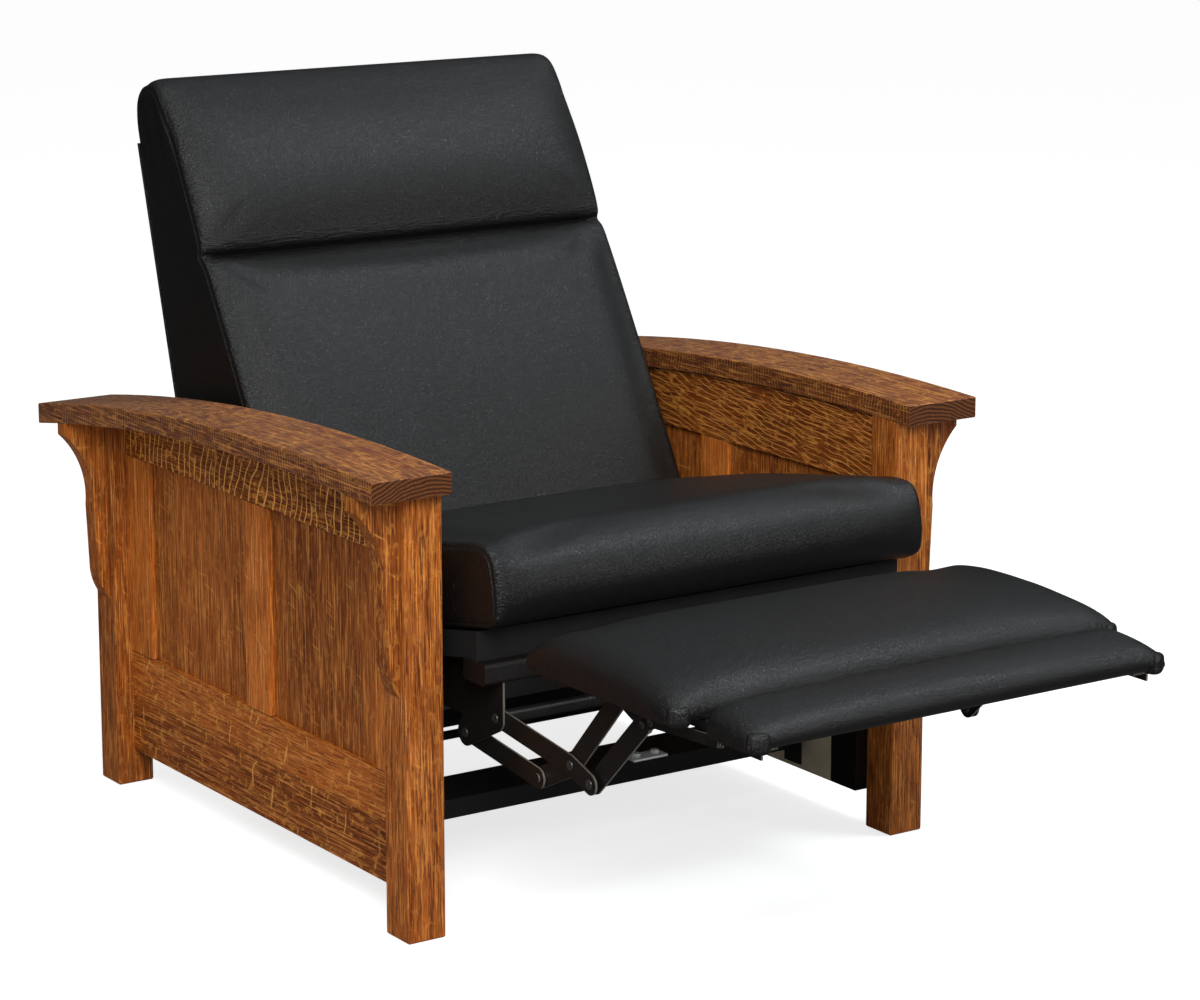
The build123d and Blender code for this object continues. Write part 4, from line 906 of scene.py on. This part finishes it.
def makeTabs(name, pad):
    count = tabs["steps"]
    u = np.linspace(-math.pi / 2 + 0.02, math.pi / 2 - 0.02, count)[:, None]
    v = np.linspace(-math.pi, math.pi, 2 * count, endpoint=False)[None, :]
    bend = lambda value, power: np.sign(value) * np.abs(value) ** power
    across = tabs["wide"] * bend(np.cos(u), tabs["power"]) * bend(np.cos(v), tabs["power"])
    rise = tabs["high"] * bend(np.cos(u), tabs["power"]) * bend(np.sin(v), tabs["power"])
    depth = tabs["deep"] * bend(np.sin(u), 0.8) * np.ones_like(v)
    # folds run in from the rim
    depth = depth + 0.7 * np.sin(np.arctan2(rise, across) * 9) * np.cos(u) ** 2 * (depth > 0)
    frontY = min(point[0] for point in pad["outline"])
    index = np.arange(depth.size).reshape(depth.shape)
    grid = np.concatenate([gridFaces(index, True), ringCap(index[0]), ringCap(index[-1][::-1])])
    verts, faces = [], []
    for side in (-1, 1):
        outX, outY = side * math.sin(tabs["turn"]), -math.cos(tabs["turn"])
        x = side * (pad["halfWidth"] - tabs["in"]) + depth * outX - across * outY * side
        y = frontY + tabs["behind"] + depth * outY + across * outX * side
        verts.append(rowPoints(x, y, pad["under"] + tabs["above"] + rise))
        first = verts[-1][grid[0]]
        way = np.cross(first[1] - first[0], first[2] - first[0]) @ (first.mean(0) - verts[-1].mean(0))
        faces.append((grid if way > 0 else grid[:, ::-1]) + len(faces) * depth.size)
    verts, faces = np.concatenate(verts), np.concatenate(faces)
    piece = meshPiece(name, verts, faces, seamedLeather, pad["body"], closed=False)
    # the dark seam colour paints shade on the tab's rim and on its part inside the pad
    giveAttribute(piece, "seam", np.tile(np.maximum(depth - 2.6, 0).ravel() * mm * 1.4, 2))


makeTabs("ottomanCornerTabs", ottoman)
makeTabs("extensionCornerTabs", extension)

# rivets with dished heads, turned about X
lanes = lambda step: 312.0 - 4.0 * step


def turnedForm(profile, centre, segments=28):  # a profile of (x, radius) pairs revolved about its centre
    profile = np.array(profile, float)
    angles = np.linspace(0, 2 * math.pi, segments, endpoint=False)
    radius = np.maximum(profile[:, 1], 0.02)[:, None]
    y = centre[0] + radius * np.cos(angles)[None]
    z = centre[1] + radius * np.sin(angles)[None]
    verts = rowPoints(np.broadcast_to(profile[:, 0][:, None], y.shape), y, z)
    index = np.arange(len(verts)).reshape(len(profile), segments)
    return verts, np.concatenate([gridFaces(index, True), ringCap(index[0]), ringCap(index[-1][::-1])])


def dishedHead(x, radius, way):  # out from the plate at x, down into the dish
    steps = ((0, 0.2), (0.5, 0), (1.3, 0.3), (2.2, 1.6), (2.35, 2.4), (1.7, 3.2), (1.5, 4.6))
    return [(x + way * out, radius - less) for out, less in steps] + [(x + way * 1.5, 0.02)]


def rivetProfile(inner, outer, innerHead, outerHead, shank=4.0):  # a head of radius 0 is a flat end
    start = dishedHead(inner, innerHead, -1)[::-1] if innerHead else [(inner, 0.02)]
    end = dishedHead(outer, outerHead, 1) if outerHead else [(outer, 0.02)]
    return start + [(inner, shank), (outer, shank)] + end


def laneRivet(first, last, innerHead, outerHead):
    return rivetProfile(lanes(first), lanes(last) + 3, innerHead, outerHead)


def turnedSet(name, forms, body, node):
    verts, faces, count = [], [], 0
    for centre, profile in forms:
        points, quads = turnedForm(profile, centre)
        for side in (1, -1):
            faces.append(quads[:, ::side] + count)
            verts.append(points * np.array([side, 1, 1]))
            count += len(points)
    piece = meshPiece(name, np.concatenate(verts), np.concatenate(faces), rivetSteel, body)
    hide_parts(node)


swings = {"rear": 518.8312, "front": 298.8312, "base": 135.0, "top": 300.0}
linkage = {
    "upper": (-35, 297), "lower": (39, 260), "lowerEnd": (-128, 240), "bent": (-203, 276), "front": (-246, 262),
    "ottomanRear": (-303, 385), "ottomanFront": (-351, 365), "flipper": (-374, 374), "extension": (-495, 387),
    "backHinge": (536.8312, 350.0),
}

turnedSet("baseRivetHeads", [((swings[end], swings["base"]), laneRivet(-1, -2, 7, 7)) for end in ("front", "rear")],
          "chair_frame", "base_rivets")
turnedSet("carriageRivetHeads", [
    (linkage["upper"], laneRivet(1, 0, 0, 7)), (linkage["lower"], laneRivet(1, 0, 7, 7)),
    ((swings["front"], swings["top"]), laneRivet(0, -1, 7, 7)),
    ((swings["rear"], swings["top"]), laneRivet(0, -1, 7, 7)), (linkage["backHinge"], laneRivet(1, 0, 7, 7)),
], "carriage", "carriage_rivets")
turnedSet("upperLinkRivetHeads", [
    (linkage["bent"], laneRivet(2, 1, 0, 7)), (linkage["front"], laneRivet(3, 1, 7, 7)),
    (linkage["front"], rivetProfile(lanes(2), lanes(1), 0, 0, 5.5)),
], "upper_arms", "upper_link_rivets")
turnedSet("bentLinkRivetHeads", [
    (linkage["ottomanRear"], laneRivet(4, 2, 7, 7)),
    (linkage["ottomanRear"], rivetProfile(lanes(3), lanes(2), 0, 0, 5.5)),
    (linkage["lowerEnd"], rivetProfile(lanes(2), lanes(2) + 1, 6, 0, 3.5)),
], "bent_arms", "bent_link_rivets")
turnedSet("frontLinkRivetHeads", [
    (linkage["flipper"], laneRivet(3, 2, 0, 6)),
    (linkage["ottomanFront"], rivetProfile(lanes(3) + 2, lanes(3) + 3, 0, 6, 3.5)),
], "front_arms", "front_link_rivets")
turnedSet("ottomanRivetHeads", [(linkage["extension"], laneRivet(4, 3, 6, 0))], "ottoman", "ottoman_rivets")
print("rivets done")

# floor, light and camera
light = {  # a lamp's watts, place, size and tint
    "key": (162.0, (-2.0, -3.2, 2.8), 2.2, (1, 1, 1)), "fill": (12.5, (2.3, -1.9, 2.9), 1.8, (0.90, 0.96, 1)),
    "top": (46.0, (1.5, -0.8, 3.2), 1.2, (0.86, 0.95, 1)),
    "world": 0.36, "horizon": 0.004, "ceiling": 0.36, "skyLow": 0.30, "skyHigh": 0.66, "sky": (0.84, 0.94, 1, 1),
    "floor": (0.62, 0.62, 0.62, 1), "floorInGloss": (0.10, 0.10, 0.10, 1), "floorGlow": 0.75, "floorHalf": 14.0,
}


def addArea(name, watts, spot, size, tint, target=(0, 0, 0.5)):
    data = bpy.data.lights.new(name, "AREA")
    data.shape = "DISK"
    data.energy = watts
    data.color = tint
    data.size = size
    lamp = bpy.data.objects.new(name, data)
    lamp.location = spot
    way = np.array(target) - np.array(spot)
    flat = math.hypot(way[0], way[1])
    lamp.rotation_euler = (math.atan2(flat, -way[2]), 0, math.atan2(way[1], way[0]) - math.pi / 2)
    scene.collection.objects.link(lamp)


for name in ("key", "fill", "top"):
    addArea(name + "Lamp", *light[name])


def makeWorld():
    world = bpy.data.worlds.new("studio")
    scene.world = world
    world.use_nodes = True
    tree = world.node_tree
    rays = wires(tree, addNode(tree, "LightPath", {}))
    seen = reckon("MAXIMUM", rays["Is Camera Ray"], rays["Is Transmission Ray"])
    # gloss sees a soft ceiling over a dim horizon, so black leather keeps dark sides
    height = split(wires(tree, addNode(tree, "TexCoord", {}))["Generated"])[2]
    sky = step(height, light["skyLow"], light["skyHigh"]) * (light["ceiling"] - light["horizon"]) + light["horizon"]
    strength = seen * (1.0 - light["world"]) + light["world"] + rays["Is Glossy Ray"] * (sky - light["world"])
    tint = mixColour(rays["Is Glossy Ray"], (1, 1, 1, 1), light["sky"])
    feed(tree, tree.nodes["Background"].inputs["Color"], tint)
    feed(tree, tree.nodes["Background"].inputs["Strength"], strength)


makeWorld()


def makeFloor():  # a level sheet under the chair
    half = light["floorHalf"]
    verts = [(x, y, -0.0005) for x, y in ((-half, -half), (half, -half), (half, half), (-half, half))]
    mesh = bpy.data.meshes.new("floor")
    mesh.from_pydata(verts, [], [(0, 1, 2, 3)])
    floor = bpy.data.objects.new("floor", mesh)
    scene.collection.objects.link(floor)
    material, tree = newMaterial("floorPaint", {
        "Roughness": 0.9, "Specular IOR Level": 0.1, "Emission Color": (1, 1, 1, 1)})[:2]
    rays = wires(tree, addNode(tree, "LightPath", {}))
    shade = mixColour(rays["Is Glossy Ray"], light["floor"], light["floorInGloss"])
    glow = rays["Is Camera Ray"] * light["floorGlow"]
    mesh.materials.append(finishMaterial(material, {"Base Color": shade, "Emission Strength": glow}))


makeFloor()

camera = {"target": (0.01288, 0.0427, 0.58353), "distance": 4.9368, "azimuth": -34.15, "elevation": 12.02,
          "lens": 107.12, "shiftY": -0.05}


def addCamera():
    turn, rise = math.radians(camera["azimuth"]), math.radians(camera["elevation"])
    away = np.array([math.sin(turn) * math.cos(rise), -math.cos(turn) * math.cos(rise), math.sin(rise)])
    data = bpy.data.cameras.new("camera")
    data.lens = camera["lens"]
    data.sensor_width = 36
    data.shift_y = camera["shiftY"]
    data.clip_end = 60
    eye = bpy.data.objects.new("camera", data)
    eye.location = np.array(camera["target"]) + away * camera["distance"]
    eye.rotation_euler = (math.pi / 2 - rise, 0, turn)
    scene.collection.objects.link(eye)
    scene.camera = eye


addCamera()
scene.view_settings.view_transform = "Standard"
